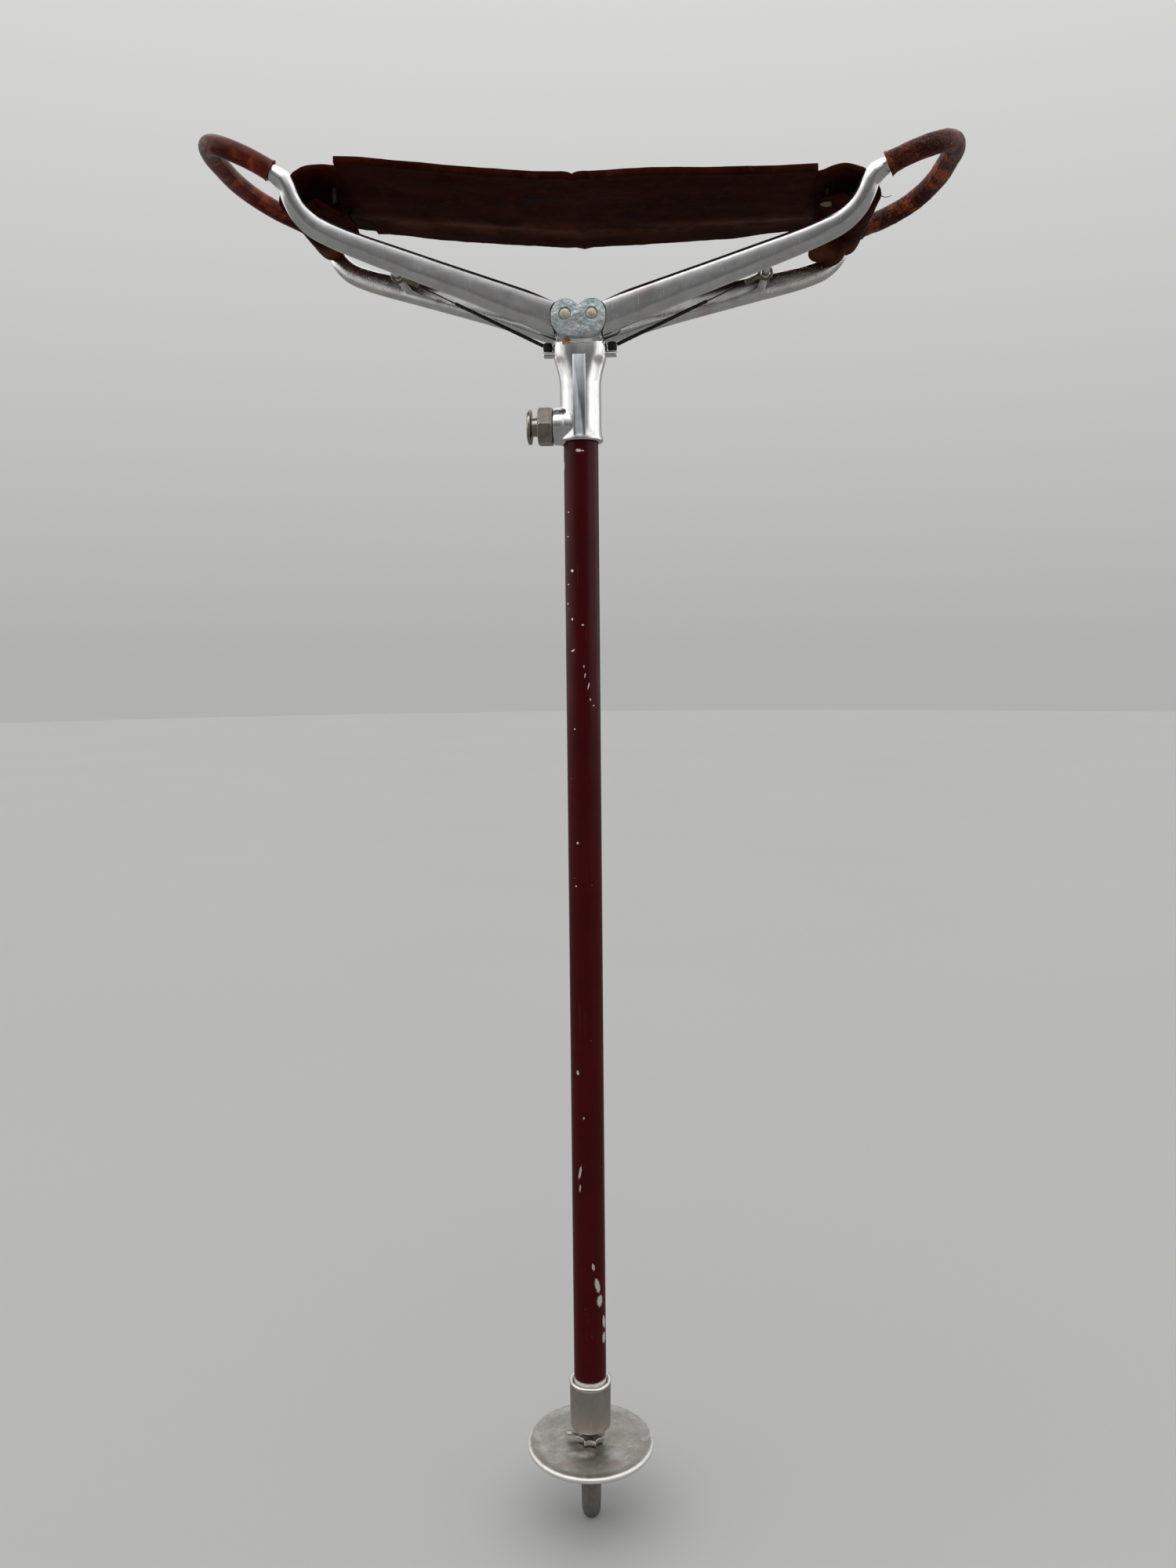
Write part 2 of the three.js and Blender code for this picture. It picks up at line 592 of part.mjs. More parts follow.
piece('shaft_tube', shaftTube(), maroonPaint);
piece('end_plug', endPlug(), dullAluminium);
piece('ferrule', ferrule(), dullAluminium);
piece('spike', spike(), dullSteel);
piece('ground_disc', groundDisc(), dullAluminium);
piece('star_lock_nut', starLockNut(), dullSteel);
piece('head_casting', headCasting(), polishedAluminium);
piece('pivot_pin_left', pivotPin(-1), brass);
piece('pivot_pin_right', pivotPin(1), brass);
piece('plunger_housing', plungerHousing(), dullSteel);
piece('plunger_pin', plungerPin(), dullSteel);
piece('plunger_knob', plungerKnob(), dullSteel);
piece('plunger_spring', plungerSpring(), dullSteel);

for (const { side, tilt, loop, place } of SIDES) {
  piece(`wing_frame_${side}`, place(wingFrame(tilt, loop)), polishedAluminium);
}
for (const { side, tilt, loop, gripR, place } of SIDES) {
  piece(`handle_wrap_${side}`, place(handleWrap(tilt, loop, gripR)), gripLeather);
}
for (const { side, tilt, place } of SIDES) {
  const { bead, sleeve, wire, eye } = stayCord(tilt);
  piece(`cord_bead_${side}`, place(bead), blackRubber);
  piece(`stay_sleeve_${side}`, place(sleeve), blackRubber);
  piece(`stay_wire_${side}`, place(wire), blackRubber);
  piece(`stay_eye_${side}`, place(eye), brass);
}
const flatSling = slingHalf();
for (const { side, tilt, place } of SIDES) {
  piece(`sling_${side}`, place(hung(flatSling, tilt)), slingLeather);
}
for (const [end, sign] of [['front', -1], ['rear', 1]]) {
  for (const { side, tilt, place } of SIDES) {
    piece(`sling_rivet_${side}_${end}`, place(hung(slingRivet(sign), tilt)), brass);
  }
}

const seatStick = new THREE.Group();
object.position.z = -SPIKE_TIP_Z;
seatStick.add(object);
seatStick.updateMatrixWorld(true);

export default seatStick;
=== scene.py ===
# Folding seat stick: a painted shaft on a spike and ground disc, and a cast head that carries two
# hinged wings with leather-covered loop handles and a leather sling seat between them.
# It stands upright along Z. The right wing opens to +X, the left to -X, and the front faces -Y.
# Shapes are in millimetres, with heights from the underside of the ground disc; place() lifts
# them into the frame and turns them into metres. Materials work in metres.
import json
import math

import bmesh
import bpy
import numpy as np
from mathutils import Matrix, Vector, noise


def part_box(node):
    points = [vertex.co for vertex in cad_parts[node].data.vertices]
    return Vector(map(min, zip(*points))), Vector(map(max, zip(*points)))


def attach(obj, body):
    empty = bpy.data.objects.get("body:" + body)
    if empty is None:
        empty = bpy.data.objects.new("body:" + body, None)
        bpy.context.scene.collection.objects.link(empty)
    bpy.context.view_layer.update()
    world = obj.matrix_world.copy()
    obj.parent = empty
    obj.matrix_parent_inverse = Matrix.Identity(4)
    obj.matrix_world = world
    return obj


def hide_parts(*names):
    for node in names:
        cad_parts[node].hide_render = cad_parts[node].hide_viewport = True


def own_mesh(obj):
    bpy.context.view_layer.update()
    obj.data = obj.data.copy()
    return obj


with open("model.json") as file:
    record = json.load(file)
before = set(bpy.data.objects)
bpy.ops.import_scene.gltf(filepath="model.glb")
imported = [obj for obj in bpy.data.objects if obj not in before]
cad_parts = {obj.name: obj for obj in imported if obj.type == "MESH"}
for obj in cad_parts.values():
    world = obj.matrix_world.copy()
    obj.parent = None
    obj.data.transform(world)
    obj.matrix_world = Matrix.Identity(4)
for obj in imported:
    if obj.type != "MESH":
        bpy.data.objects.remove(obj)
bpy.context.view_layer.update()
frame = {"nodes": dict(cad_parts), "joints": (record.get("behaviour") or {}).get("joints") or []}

# ------------------------------------------------------------------ driving dimensions
spike_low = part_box("spike")[0].z
LIFT = 1000 * (-spike_low if spike_low < -0.001 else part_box("ground_disc")[0].z)
SIGN = {"right": 1, "left": -1}
ENDS = ((-1, "front"), (1, "rear"))

# places on the right-hand side, as (x, z)
PIVOT = PIVOT_X, PIVOT_Z = (8.35, 760.4)    # hinge pin
BAR = (169.8, 823.6)                        # cross bar that holds the sling
STRUT = (116.0, 790.0)                      # thinner cross bar that holds the stay
BEAD = (20.5, 743.5)                        # block at the foot of the stay
PLUNGER_Z = 694.5
PLUNGER_AT = (0, 0, PLUNGER_Z)


def wing_tilt(side):
    """turn about the pivot that brings the bar to the frame's sling joint"""
    joint = next(j for j in frame["joints"] if j["name"] == f"sling_{side}_hinge")
    x, _, z = joint["pos_m"]
    x, z = x * 1000 * SIGN[side], z * 1000 - LIFT
    wanted = math.atan2(z - PIVOT_Z, x - PIVOT_X)
    return wanted - math.atan2(BAR[1] - PIVOT_Z, BAR[0] - PIVOT_X)


TILT = {side: wing_tilt(side) for side in SIGN}


def tilted(place_xz, side):
    turn = TILT[side]
    x, z = place_xz[0] - PIVOT_X, place_xz[1] - PIVOT_Z
    return (PIVOT_X + x * math.cos(turn) - z * math.sin(turn),
            PIVOT_Z + x * math.sin(turn) + z * math.cos(turn))


BAR_AT = {side: tilted(BAR, side) for side in SIGN}


# ------------------------------------------------------------------ number helpers
def smoothstep(start, end, x):
    t = min(max((x - start) / (end - start), 0), 1)
    return t * t * (3 - 2 * t)


def bell(x, centre, width):
    return math.exp(-((x - centre) / width) ** 2)


def wobble(x, y, z, seed=0.0):
    return noise.noise(Vector((x + seed, y + seed * 1.7, z - seed)))


def catmull(points, t):
    """centripetal spline through points, at t in 0..1"""
    points = [np.array(p, float) for p in points]
    last = len(points) - 1
    i = min(int(math.floor(t * last)), last - 1)
    w = t * last - i
    start, end = points[i], points[i + 1]
    before = points[i - 1] if i > 0 else 2 * start - end
    after = points[i + 2] if i + 2 <= last else 2 * end - start

    def gap(a, b):
        return max(float(np.sum((a - b) ** 2)) ** 0.25, 1e-4)

    gap0, gap1, gap2 = gap(before, start), gap(start, end), gap(end, after)
    chord = (end - start) / gap1
    leave = ((start - before) / gap0 - (end - before) / (gap0 + gap1) + chord) * gap1
    arrive = (chord - (after - start) / (gap1 + gap2) + (after - end) / gap2) * gap1
    square = -3 * start + 3 * end - 2 * leave - arrive
    cube = 2 * start - 2 * end + leave + arrive
    return start + leave * w + square * w * w + cube * w ** 3


def spline(points, steps):
    return np.array([catmull(points, i / steps) for i in range(steps + 1)])


def run_lengths(points):
    """distance from the first point to each point"""
    return np.r_[0, np.cumsum(np.linalg.norm(np.diff(points, axis=0), axis=1))]


def resample(points, count):
    run = run_lengths(points)
    even = np.linspace(0, run[-1], count)
    return np.stack([np.interp(even, run, column) for column in points.T], 1)


def path_frames(path):
    """points, with unit tangents and two cross directions that don't twist"""
    path = np.array(path, float)
    tangents = np.gradient(path, axis=0)
    tangents /= np.linalg.norm(tangents, axis=1)[:, None]
    up = np.array([0, 0, 1.0]) if abs(tangents[0][2]) < 0.9 else np.array([1.0, 0, 0])
    cross = up - tangents[0] * (up @ tangents[0])
    cross /= np.linalg.norm(cross)
    frames = []
    for tangent in tangents:
        cross = cross - tangent * (cross @ tangent)
        cross /= np.linalg.norm(cross)
        frames.append((tangent, cross, np.cross(tangent, cross)))
    return path, frames


# ------------------------------------------------------------------ mesh helpers
def new_obj(name, verts, faces):
    me = bpy.data.meshes.new(name)
    me.from_pydata([tuple(map(float, v)) for v in verts], [], faces)
    me.validate()
    ob = bpy.data.objects.new(name, me)
    bpy.context.scene.collection.objects.link(ob)
    bm = bmesh.new()
    bm.from_mesh(me)
    bmesh.ops.recalc_face_normals(bm, faces=bm.faces)
    bm.to_mesh(me)
    bm.free()
    return ob


def bake(ob):
    """applies the object's modifiers"""
    bpy.context.view_layer.update()
    graph = bpy.context.evaluated_depsgraph_get()
    me = bpy.data.meshes.new_from_object(ob.evaluated_get(graph))
    old = ob.data
    ob.modifiers.clear()
    ob.data = me
    if old.users == 0:
        bpy.data.meshes.remove(old)
    return ob


def boolean(ob, tool, operation):
    """combines ob with the tool, which is used up"""
    mod = ob.modifiers.new("b", "BOOLEAN")
    mod.object = tool
    mod.operation = operation
    mod.solver = "MANIFOLD"
    bake(ob)
    me = tool.data
    bpy.data.objects.remove(tool)
    if me.users == 0:
        bpy.data.meshes.remove(me)
    return ob


def union(ob, *tools):
    for tool in tools:
        boolean(ob, tool, "UNION")
    return ob


def cut(ob, tool):
    return boolean(ob, tool, "DIFFERENCE")


def clean(ob, dist=0.002):
    bm = bmesh.new()
    bm.from_mesh(ob.data)
    bmesh.ops.remove_doubles(bm, verts=bm.verts, dist=dist)
    bmesh.ops.dissolve_degenerate(bm, edges=bm.edges, dist=dist)
    loose = [v for v in bm.verts if not v.link_faces]
    bmesh.ops.delete(bm, geom=loose, context="VERTS")
    bm.to_mesh(ob.data)
    bm.free()
    return ob


def bevel(ob, width, segments=2, angle=35):
    mod = ob.modifiers.new("bev", "BEVEL")
    mod.width = width
    mod.segments = segments
    mod.limit_method = "ANGLE"
    mod.angle_limit = math.radians(angle)
    mod.use_clamp_overlap = True
    mod.miter_outer = "MITER_SHARP"
    return bake(ob)


def melt(ob, size, smoothing):
    """remeshes to cubes of this size and smooths, so joined parts flow together"""
    mod = ob.modifiers.new("r", "REMESH")
    mod.mode = "VOXEL"
    mod.voxel_size = size
    mod.adaptivity = 0.0
    mod = ob.modifiers.new("s", "SMOOTH")
    mod.iterations = smoothing
    mod.factor = 0.5
    return bake(ob)


def shade(ob, sharp):
    bm = bmesh.new()
    bm.from_mesh(ob.data)
    limit = math.radians(sharp)
    for face in bm.faces:
        face.smooth = True
    for edge in bm.edges:
        edge.smooth = not (len(edge.link_faces) == 2 and edge.calc_face_angle(0) > limit)
    bm.to_mesh(ob.data)
    bm.free()


def place(ob, finish, body, *nodes, sharp=38):
    """into the frame in metres; finish is (material or list of them, slot name), and the slot name is
    not used
    """
    me = ob.data
    me.transform(Matrix.Translation((0, 0, LIFT)))
    me.transform(Matrix.Scale(0.001, 4))
    shade(ob, sharp)
    materials, slot = finish
    me.materials.clear()
    for material in materials if isinstance(materials, list) else [materials]:
        me.materials.append(material)
    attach(ob, body)
    if nodes:
        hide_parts(*nodes)
    return ob


def sided(ob, side):
    """mirrors a part modelled on the right if it is for the left"""
    if side == "left":
        ob.data.transform(Matrix.Scale(-1, 4, Vector((1, 0, 0))))
        ob.data.flip_normals()
    return ob


def tilt_mesh(ob, side):
    centre = Matrix.Translation((PIVOT_X, 0, PIVOT_Z))
    ob.data.transform(centre @ Matrix.Rotation(-TILT[side], 4, "Y") @ centre.inverted())
    return ob


def ring_faces(rows, sides, wrap=False, flip=False):
    """quads between successive rings of vertices"""
    faces = []
    for k in range(rows if wrap else rows - 1):
        near, far = k * sides, (k + 1) % rows * sides
        for i in range(sides):
            j = (i + 1) % sides
            a, b, c, d = near + i, far + i, far + j, near + j
            faces.append((a, d, c, b) if flip else (a, b, c, d))
    return faces


def cap_faces(rows, sides):
    total = rows * sides
    return [tuple(range(sides)), tuple(range(total - 1, total - sides - 1, -1))]


def revolve(name, profile, segments=64, axis="z", at=(0, 0, 0), closed=False):
    """profile of (radius, height); runs from the axis to the axis, or closes on itself"""
    verts, faces, rows = [], [], []
    for r, h in profile:
        if r < 1e-6:
            rows.append([len(verts)])
            verts.append((0, 0, h))
        else:
            rows.append(list(range(len(verts), len(verts) + segments)))
            for i in range(segments):
                angle = 2 * math.pi * i / segments
                verts.append((r * math.cos(angle), r * math.sin(angle), h))
    pairs = list(zip(rows, rows[1:])) + ([(rows[-1], rows[0])] if closed else [])
    for a, b in pairs:
        for i in range(segments):
            j = (i + 1) % segments
            if len(a) == 1 and len(b) == 1:
                continue
            if len(a) == 1:
                faces.append((a[0], b[i], b[j]))
            elif len(b) == 1:
                faces.append((a[i], b[0], a[j]))
            else:
                faces.append((a[i], b[i], b[j], a[j]))
    if axis == "x":
        verts = [(h, x, y) for x, y, h in verts]
    elif axis == "y":
        verts = [(x, h, y) for x, y, h in verts]
    verts = [(x + at[0], y + at[1], z + at[2]) for x, y, z in verts]
    return new_obj(name, verts, faces)


def rod(radius, start, end, segments=48, axis="z", at=(0, 0, 0)):
    profile = [(0, start), (radius, start), (radius, end), (0, end)]
    return revolve("rod", profile, segments, axis, at)


def box(name, x0, x1, y0, y1, z0, z1):
    verts = [(x, y, z) for x in (x0, x1) for y in (y0, y1) for z in (z0, z1)]
    faces = [(0, 1, 3, 2), (4, 6, 7, 5), (0, 4, 5, 1), (2, 3, 7, 6), (0, 2, 6, 4), (1, 5, 7, 3)]
    return new_obj(name, verts, faces)


def prism(name, outline, y0, y1):
    """outline in X and Z between two Y values"""
    verts = [(x, y, z) for y in (y0, y1) for x, z in outline]
    count = len(outline)
    return new_obj(name, verts, cap_faces(2, count) + ring_faces(2, count))


def stack(name, outline, layers):
    """closed stack of scaled copies of an XY outline; layers of (scale, z)"""
    verts = [(x * s, y * s, z) for s, z in layers for x, y in outline]
    rows, count = len(layers), len(outline)
    return new_obj(name, verts, ring_faces(rows, count, flip=True) + cap_faces(rows, count))


def inset(outline, depth):
    """moves a closed outline inwards along its corner bisectors"""
    pts = np.array(outline, float)
    after, before = np.roll(pts, -1, 0), np.roll(pts, 1, 0)
    arrive, leave = pts - before, after - pts
    arrive /= np.linalg.norm(arrive, axis=1)[:, None]
    leave /= np.linalg.norm(leave, axis=1)[:, None]
    area = np.sum(pts[:, 0] * after[:, 1] - after[:, 0] * pts[:, 1])
    turn = 1 if area > 0 else -1
    normal = np.stack([-arrive[:, 1], arrive[:, 0]], 1) * turn
    bisector = normal + np.stack([-leave[:, 1], leave[:, 0]], 1) * turn
    bisector /= np.maximum(np.linalg.norm(bisector, axis=1)[:, None], 1e-6)
    stretch = 1 / np.clip(np.sum(bisector * normal, axis=1), 0.55, 1)
    return pts + bisector * (depth * stretch)[:, None]


def loft(name, stations, sides):
    """stations of (centre, height axis, thickness axis, height, thickness, exponent)"""
    verts = []
    for centre, up, across, height, thickness, exponent in stations:
        for i in range(sides):
            angle = 2 * math.pi * (i + 0.5) / sides
            c, s = math.cos(angle), math.sin(angle)
            x = math.copysign(abs(c) ** (2 / exponent), c) * thickness / 2
            y = math.copysign(abs(s) ** (2 / exponent), s) * height / 2
            verts.append(np.array(centre) + np.array(across) * x + np.array(up) * y)
    rows = len(stations)
    return new_obj(name, verts, ring_faces(rows, sides) + cap_faces(rows, sides))


def sweep(name, path, radius, sides=24, closed=False):
    """tube along path; radius is a number or radius(share of length, index)"""
    path, frames = path_frames(path)
    run = run_lengths(path)
    share = run / run[-1]
    verts = []
    for i, (_, a, b) in enumerate(frames):
        r = radius(share[i], i) if callable(radius) else radius
        for j in range(sides):
            angle = 2 * math.pi * j / sides
            verts.append(path[i] + (a * math.cos(angle) + b * math.sin(angle)) * r)
    rows = len(path)
    faces = ring_faces(rows, sides, wrap=closed)
    if not closed:
        faces += cap_faces(rows, sides)
    return new_obj(name, verts, faces)


# ------------------------------------------------------------------ shader helpers
class Nodes:
    """shorthand for adding nodes to a shader tree"""

    def __init__(self, tree, coordinates):
        self.tree = tree
        tree.nodes.clear()
        self.coords = self.node("ShaderNodeTexCoord").outputs[coordinates]

    def node(self, kind, **attrs):
        node = self.tree.nodes.new(kind)
        for key, value in attrs.items():
            setattr(node, key, value)
        return node

    def put(self, socket, value):
        """links a socket or sets a value"""
        if isinstance(value, bpy.types.NodeSocket):
            self.tree.links.new(value, socket)
        elif isinstance(value, (tuple, list)) and len(value) == 3 and socket.type == "RGBA":
            socket.default_value = (*value, 1)
        else:
            socket.default_value = value

    def noise(self, scale, detail=3, rough=0.5, warp=0.0, vec=None):
        node = self.node("ShaderNodeTexNoise")
        self.put(node.inputs["Vector"], vec or self.coords)
        node.inputs["Scale"].default_value = scale
        node.inputs["Detail"].default_value = detail
        node.inputs["Roughness"].default_value = rough
        node.inputs["Distortion"].default_value = warp
        return node.outputs["Fac"]

    def patches(self, over, to=(0.0, 1.0), **noise_args):
        return self.ramp(self.noise(**noise_args), over, to)

    def cells(self, scale, feature="F1", vec=None):
        node = self.node("ShaderNodeTexVoronoi", feature=feature)
        self.put(node.inputs["Vector"], vec or self.coords)
        node.inputs["Scale"].default_value = scale
        return node.outputs["Distance"]

    def moved(self, scale=(1, 1, 1), turn=(0, 0, 0), shift=(0, 0, 0)):
        """mapped coordinates; turn in degrees"""
        node = self.node("ShaderNodeMapping")
        self.put(node.inputs["Vector"], self.coords)
        node.inputs["Location"].default_value = shift
        node.inputs["Rotation"].default_value = tuple(math.radians(t) for t in turn)
        node.inputs["Scale"].default_value = scale
        return node.outputs[0]

    def math(self, operation, a, b=0.0):
        node = self.node("ShaderNodeMath", operation=operation)
        self.put(node.inputs[0], a)
        self.put(node.inputs[1], b)
        node.inputs[2].default_value = 0.0
        return node.outputs[0]

    def times(self, a, b):
        return self.math("MULTIPLY", a, b)

    def plus(self, a, b):
        return self.math("ADD", a, b)

    def minus(self, a, b):
        return self.math("SUBTRACT", a, b)

    def larger(self, a, b):
        return self.math("MAXIMUM", a, b)

    def size(self, value):
        return self.math("ABSOLUTE", value)

    def jitter(self, value, pattern, amount):
        """value pushed up and down by a 0..1 pattern"""
        return self.plus(value, self.times(self.minus(pattern, 0.5), amount))

    def ramp(self, value, over, to=(0.0, 1.0)):
        """clamped map of the range over onto the range to"""
        node = self.node("ShaderNodeMapRange")
        node.clamp = True
        self.put(node.inputs["Value"], value)
        node.inputs["From Min"].default_value = over[0]
        node.inputs["From Max"].default_value = over[1]
        node.inputs["To Min"].default_value = to[0]
        node.inputs["To Max"].default_value = to[1]
        return node.outputs[0]

    def mix(self, amount, base, top):
        node = self.node("ShaderNodeMix", data_type="RGBA")
        self.put(node.inputs["Factor"], amount)
        self.put(node.inputs[6], base)
        self.put(node.inputs[7], top)
        return node.outputs[2]

    def xyz(self):
        node = self.node("ShaderNodeSeparateXYZ")
        self.put(node.inputs[0], self.coords)
        return node.outputs

    def vector(self, operation, a, b=None, out="Vector"):
        node = self.node("ShaderNodeVectorMath", operation=operation)
        self.put(node.inputs[0], a)
        if b is not None:
            self.put(node.inputs[1], b)
        return node.outputs[out]

    def falloff(self, vec):
        """1 where vec is zero, falling to 0 where its length is 1"""
        return self.minus(1.0, self.vector("LENGTH", vec, out="Value"))

    def spot(self, centre, reach):
        """1 at centre falling to 0 at reach away, per axis"""
        return self.falloff(self.vector("DIVIDE", self.vector("SUBTRACT", self.coords, centre), reach))

    def edge(self, radius, over):
        """picks out edges by how far a bevel bends the normal"""
        soft = self.node("ShaderNodeBevel", samples=4)
        soft.inputs["Radius"].default_value = radius
        normal = self.node("ShaderNodeNewGeometry").outputs["Normal"]
        dot = self.vector("DOT_PRODUCT", soft.outputs[0], normal, out="Value")
        return self.ramp(self.minus(1.0, dot), over)


class Surface(Nodes):
    """a Principled material on object coordinates"""

    def __init__(self, name):
        self.material = bpy.data.materials.new(name)
        self.material.use_nodes = True
        super().__init__(self.material.node_tree, "Object")
        output = self.node("ShaderNodeOutputMaterial")
        self.shader = self.node("ShaderNodeBsdfPrincipled")
        self.put(output.inputs[0], self.shader.outputs[0])
        self.normal = None

    def bump(self, height, strength, dist):
        """adds relief on top of any earlier relief"""
        node = self.node("ShaderNodeBump")
        node.inputs["Strength"].default_value = strength
        node.inputs["Distance"].default_value = dist
        self.put(node.inputs["Height"], height)
        if self.normal is not None:
            self.put(node.inputs["Normal"], self.normal)
        self.normal = node.outputs[0]
        self.put(self.shader.inputs["Normal"], self.normal)

    def finish(self, **values):
        """sets the shader's inputs and returns the material"""
        for key, value in values.items():
            self.put(self.shader.inputs[key.replace("_", " ")], value)
        return self.material


# ------------------------------------------------------------------ metals
def scratches(mat, scale=900, turns=((3, 40, 0), (50, -25, 10), (5, 80, 30)), over=(0.66, 0.74)):
    """fine hairline scratches in a few directions"""
    total = None
    for i, turn in enumerate(turns):
        streaks = mat.moved(scale=(scale, scale, scale * 0.03), turn=turn,
                            shift=(0.3 * i, 0.1 * i, 0.7 * i))
        lines = mat.patches(scale=1.0, detail=2, rough=0.6, vec=streaks, over=over)
        total = lines if total is None else mat.larger(total, lines)
    return total


def aluminium(name, base, rough, marks_and_light):
    """polished aluminium; the last argument, called as (mat, colour, roughness), adds a part's own
    wear, and on the head and heart painted reflections and highlights
    """
    mat = Surface(name)
    cloud = mat.noise(scale=55, detail=4, rough=0.6)
    fine = mat.noise(scale=420, detail=4, rough=0.65)
    smear = mat.noise(scale=1.0, rough=0.6, vec=mat.moved(scale=(60, 60, 260), turn=(0, 25, 0)))
    dark = tuple(c * 0.70 * k for c, k in zip(base, (0.98, 1.0, 1.03)))
    warm = tuple(c * k for c, k in zip(base, (1.0, 0.96, 0.89)))
    rose = (0.62, 0.44, 0.46)
    bright = (0.95, 0.95, 0.94)
    col = mat.mix(mat.ramp(cloud, over=(0.45, 0.72), to=(0, 0.55)), base, dark)
    col = mat.mix(mat.ramp(smear, over=(0.55, 0.80), to=(0, 0.45)), col, warm)
    tint = mat.patches(scale=48, detail=2, vec=mat.moved(shift=(5, 2, 7)), over=(0.60, 0.72))
    col = mat.mix(mat.times(tint, 0.35), col, rose)
    hairs = scratches(mat)
    col = mat.mix(mat.times(hairs, 0.30), col, bright)
    rough = mat.ramp(cloud, over=(0.3, 0.75), to=rough)
    rough = mat.plus(rough, mat.ramp(fine, over=(0.45, 0.75), to=(0.0, 0.04)))
    rough = mat.plus(rough, mat.times(hairs, 0.10))
    col, rough = marks_and_light(mat, col, rough)
    mat.bump(mat.noise(scale=38, detail=2), strength=0.30, dist=0.0022)
    mat.bump(fine, strength=0.03, dist=0.0003)
    mat.bump(hairs, strength=0.06, dist=0.0001)
    return mat.finish(Base_Color=col, Metallic=1.0, Roughness=rough)


def heart_mottle_and_highlights(mat, col, rough):
    """blue-grey mottle, with painted highlights on the bright edges"""
    pale_blue, slate, cream = (0.76, 0.85, 0.87), (0.44, 0.52, 0.55), (0.93, 0.91, 0.86)
    bright = (0.97, 0.98, 0.98)
    mottle = mat.patches(scale=230, detail=5, rough=0.7, warp=0.8, over=(0.40, 0.60))
    blotch = mat.patches(scale=110, rough=0.6, warp=0.6, over=(0.52, 0.64), to=(0, 0.75))
    blue = mat.mix(blotch, mat.mix(mottle, pale_blue, slate), cream)
    col = mat.mix(0.85, col, blue)
    # bright edges are painted highlights
    col = mat.mix(mat.edge(radius=0.0008, over=(0.01, 0.10)), col, bright)
    mat.bump(mat.noise(scale=120, rough=0.6), strength=0.55, dist=0.0016)
    return col, mat.plus(rough, 0.06)


def wing_marks(mat, col, rough):
    """brown pits on the outer rear of the wings, and stains"""
    sallow, pit_brown, stain_brown = (0.74, 0.70, 0.58), (0.10, 0.075, 0.045), (0.42, 0.30, 0.30)
    x, y, z = mat.xyz()
    zone = mat.times(mat.ramp(mat.size(x), over=(0.118, 0.142)), mat.ramp(y, over=(0.020, 0.034)))
    zone = mat.times(zone, mat.larger(mat.ramp(z, over=(0.858, 0.845)), 0.25))
    grit = mat.times(mat.ramp(mat.cells(scale=820), over=(0.34, 0.12)),
                     mat.patches(scale=170, detail=4, rough=0.7, over=(0.42, 0.60)))
    pits = mat.times(zone, grit)
    col = mat.mix(mat.times(zone, 0.55), col, sallow)
    col = mat.mix(pits, col, pit_brown)
    rough = mat.plus(rough, mat.times(zone, 0.22))
    mat.bump(mat.times(pits, -1.0), strength=0.8, dist=0.0006)
    stain = mat.times(mat.patches(scale=130, detail=4, rough=0.7, over=(0.50, 0.62)),
                      mat.ramp(mat.size(y), over=(0.0, 0.001)))
    return mat.mix(mat.times(stain, 0.16), col, stain_brown), rough


def head_reflection_and_brushing(mat, col, rough):
    """the raised band down the front and rear: a blue-grey painted reflection of the dark room, with
    painted highlights on its bright edges; brushed streaks all over
    """
    reflection_dark_blue, reflection_light_blue = (0.22, 0.25, 0.29), (0.48, 0.52, 0.56)
    bright, brushed = (0.97, 0.97, 0.96), (0.52, 0.50, 0.48)
    x, y, z = mat.xyz()
    off_centre = mat.size(x)
    heights = mat.times(mat.ramp(z, over=(0.7915, 0.7895)), mat.ramp(z, over=(0.7385, 0.7395)))
    band = mat.times(mat.ramp(mat.size(y), over=(0.0133, 0.0135)), heights)
    band = mat.times(band, mat.ramp(off_centre, over=(0.00425, 0.00405)))
    rim = mat.times(band, mat.ramp(off_centre, over=(0.00335, 0.00365)))
    streaks = mat.patches(scale=1.0, detail=4, rough=0.65, over=(0.36, 0.66),
                          vec=mat.moved(scale=(1500, 400, 60)))
    # blue-grey on the raised band is a painted reflection of the dark room in front
    col = mat.mix(mat.times(band, 0.85), col, mat.mix(streaks, reflection_dark_blue, reflection_light_blue))
    # bright edges of the band are painted highlights
    col = mat.mix(rim, col, bright)
    brush = mat.patches(scale=1.0, vec=mat.moved(scale=(900, 900, 14)), over=(0.52, 0.70),
                        to=(0, 0.45))
    return mat.mix(brush, col, brushed), mat.plus(rough, mat.times(band, 0.10))


DISC_TONES = ((0.33, 0.322, 0.300), (0.245, 0.237, 0.218), (0.285, 0.243, 0.200))
SOCKET_TONES = ((0.46, 0.450, 0.420), (0.36, 0.350, 0.325), (0.40, 0.340, 0.280))


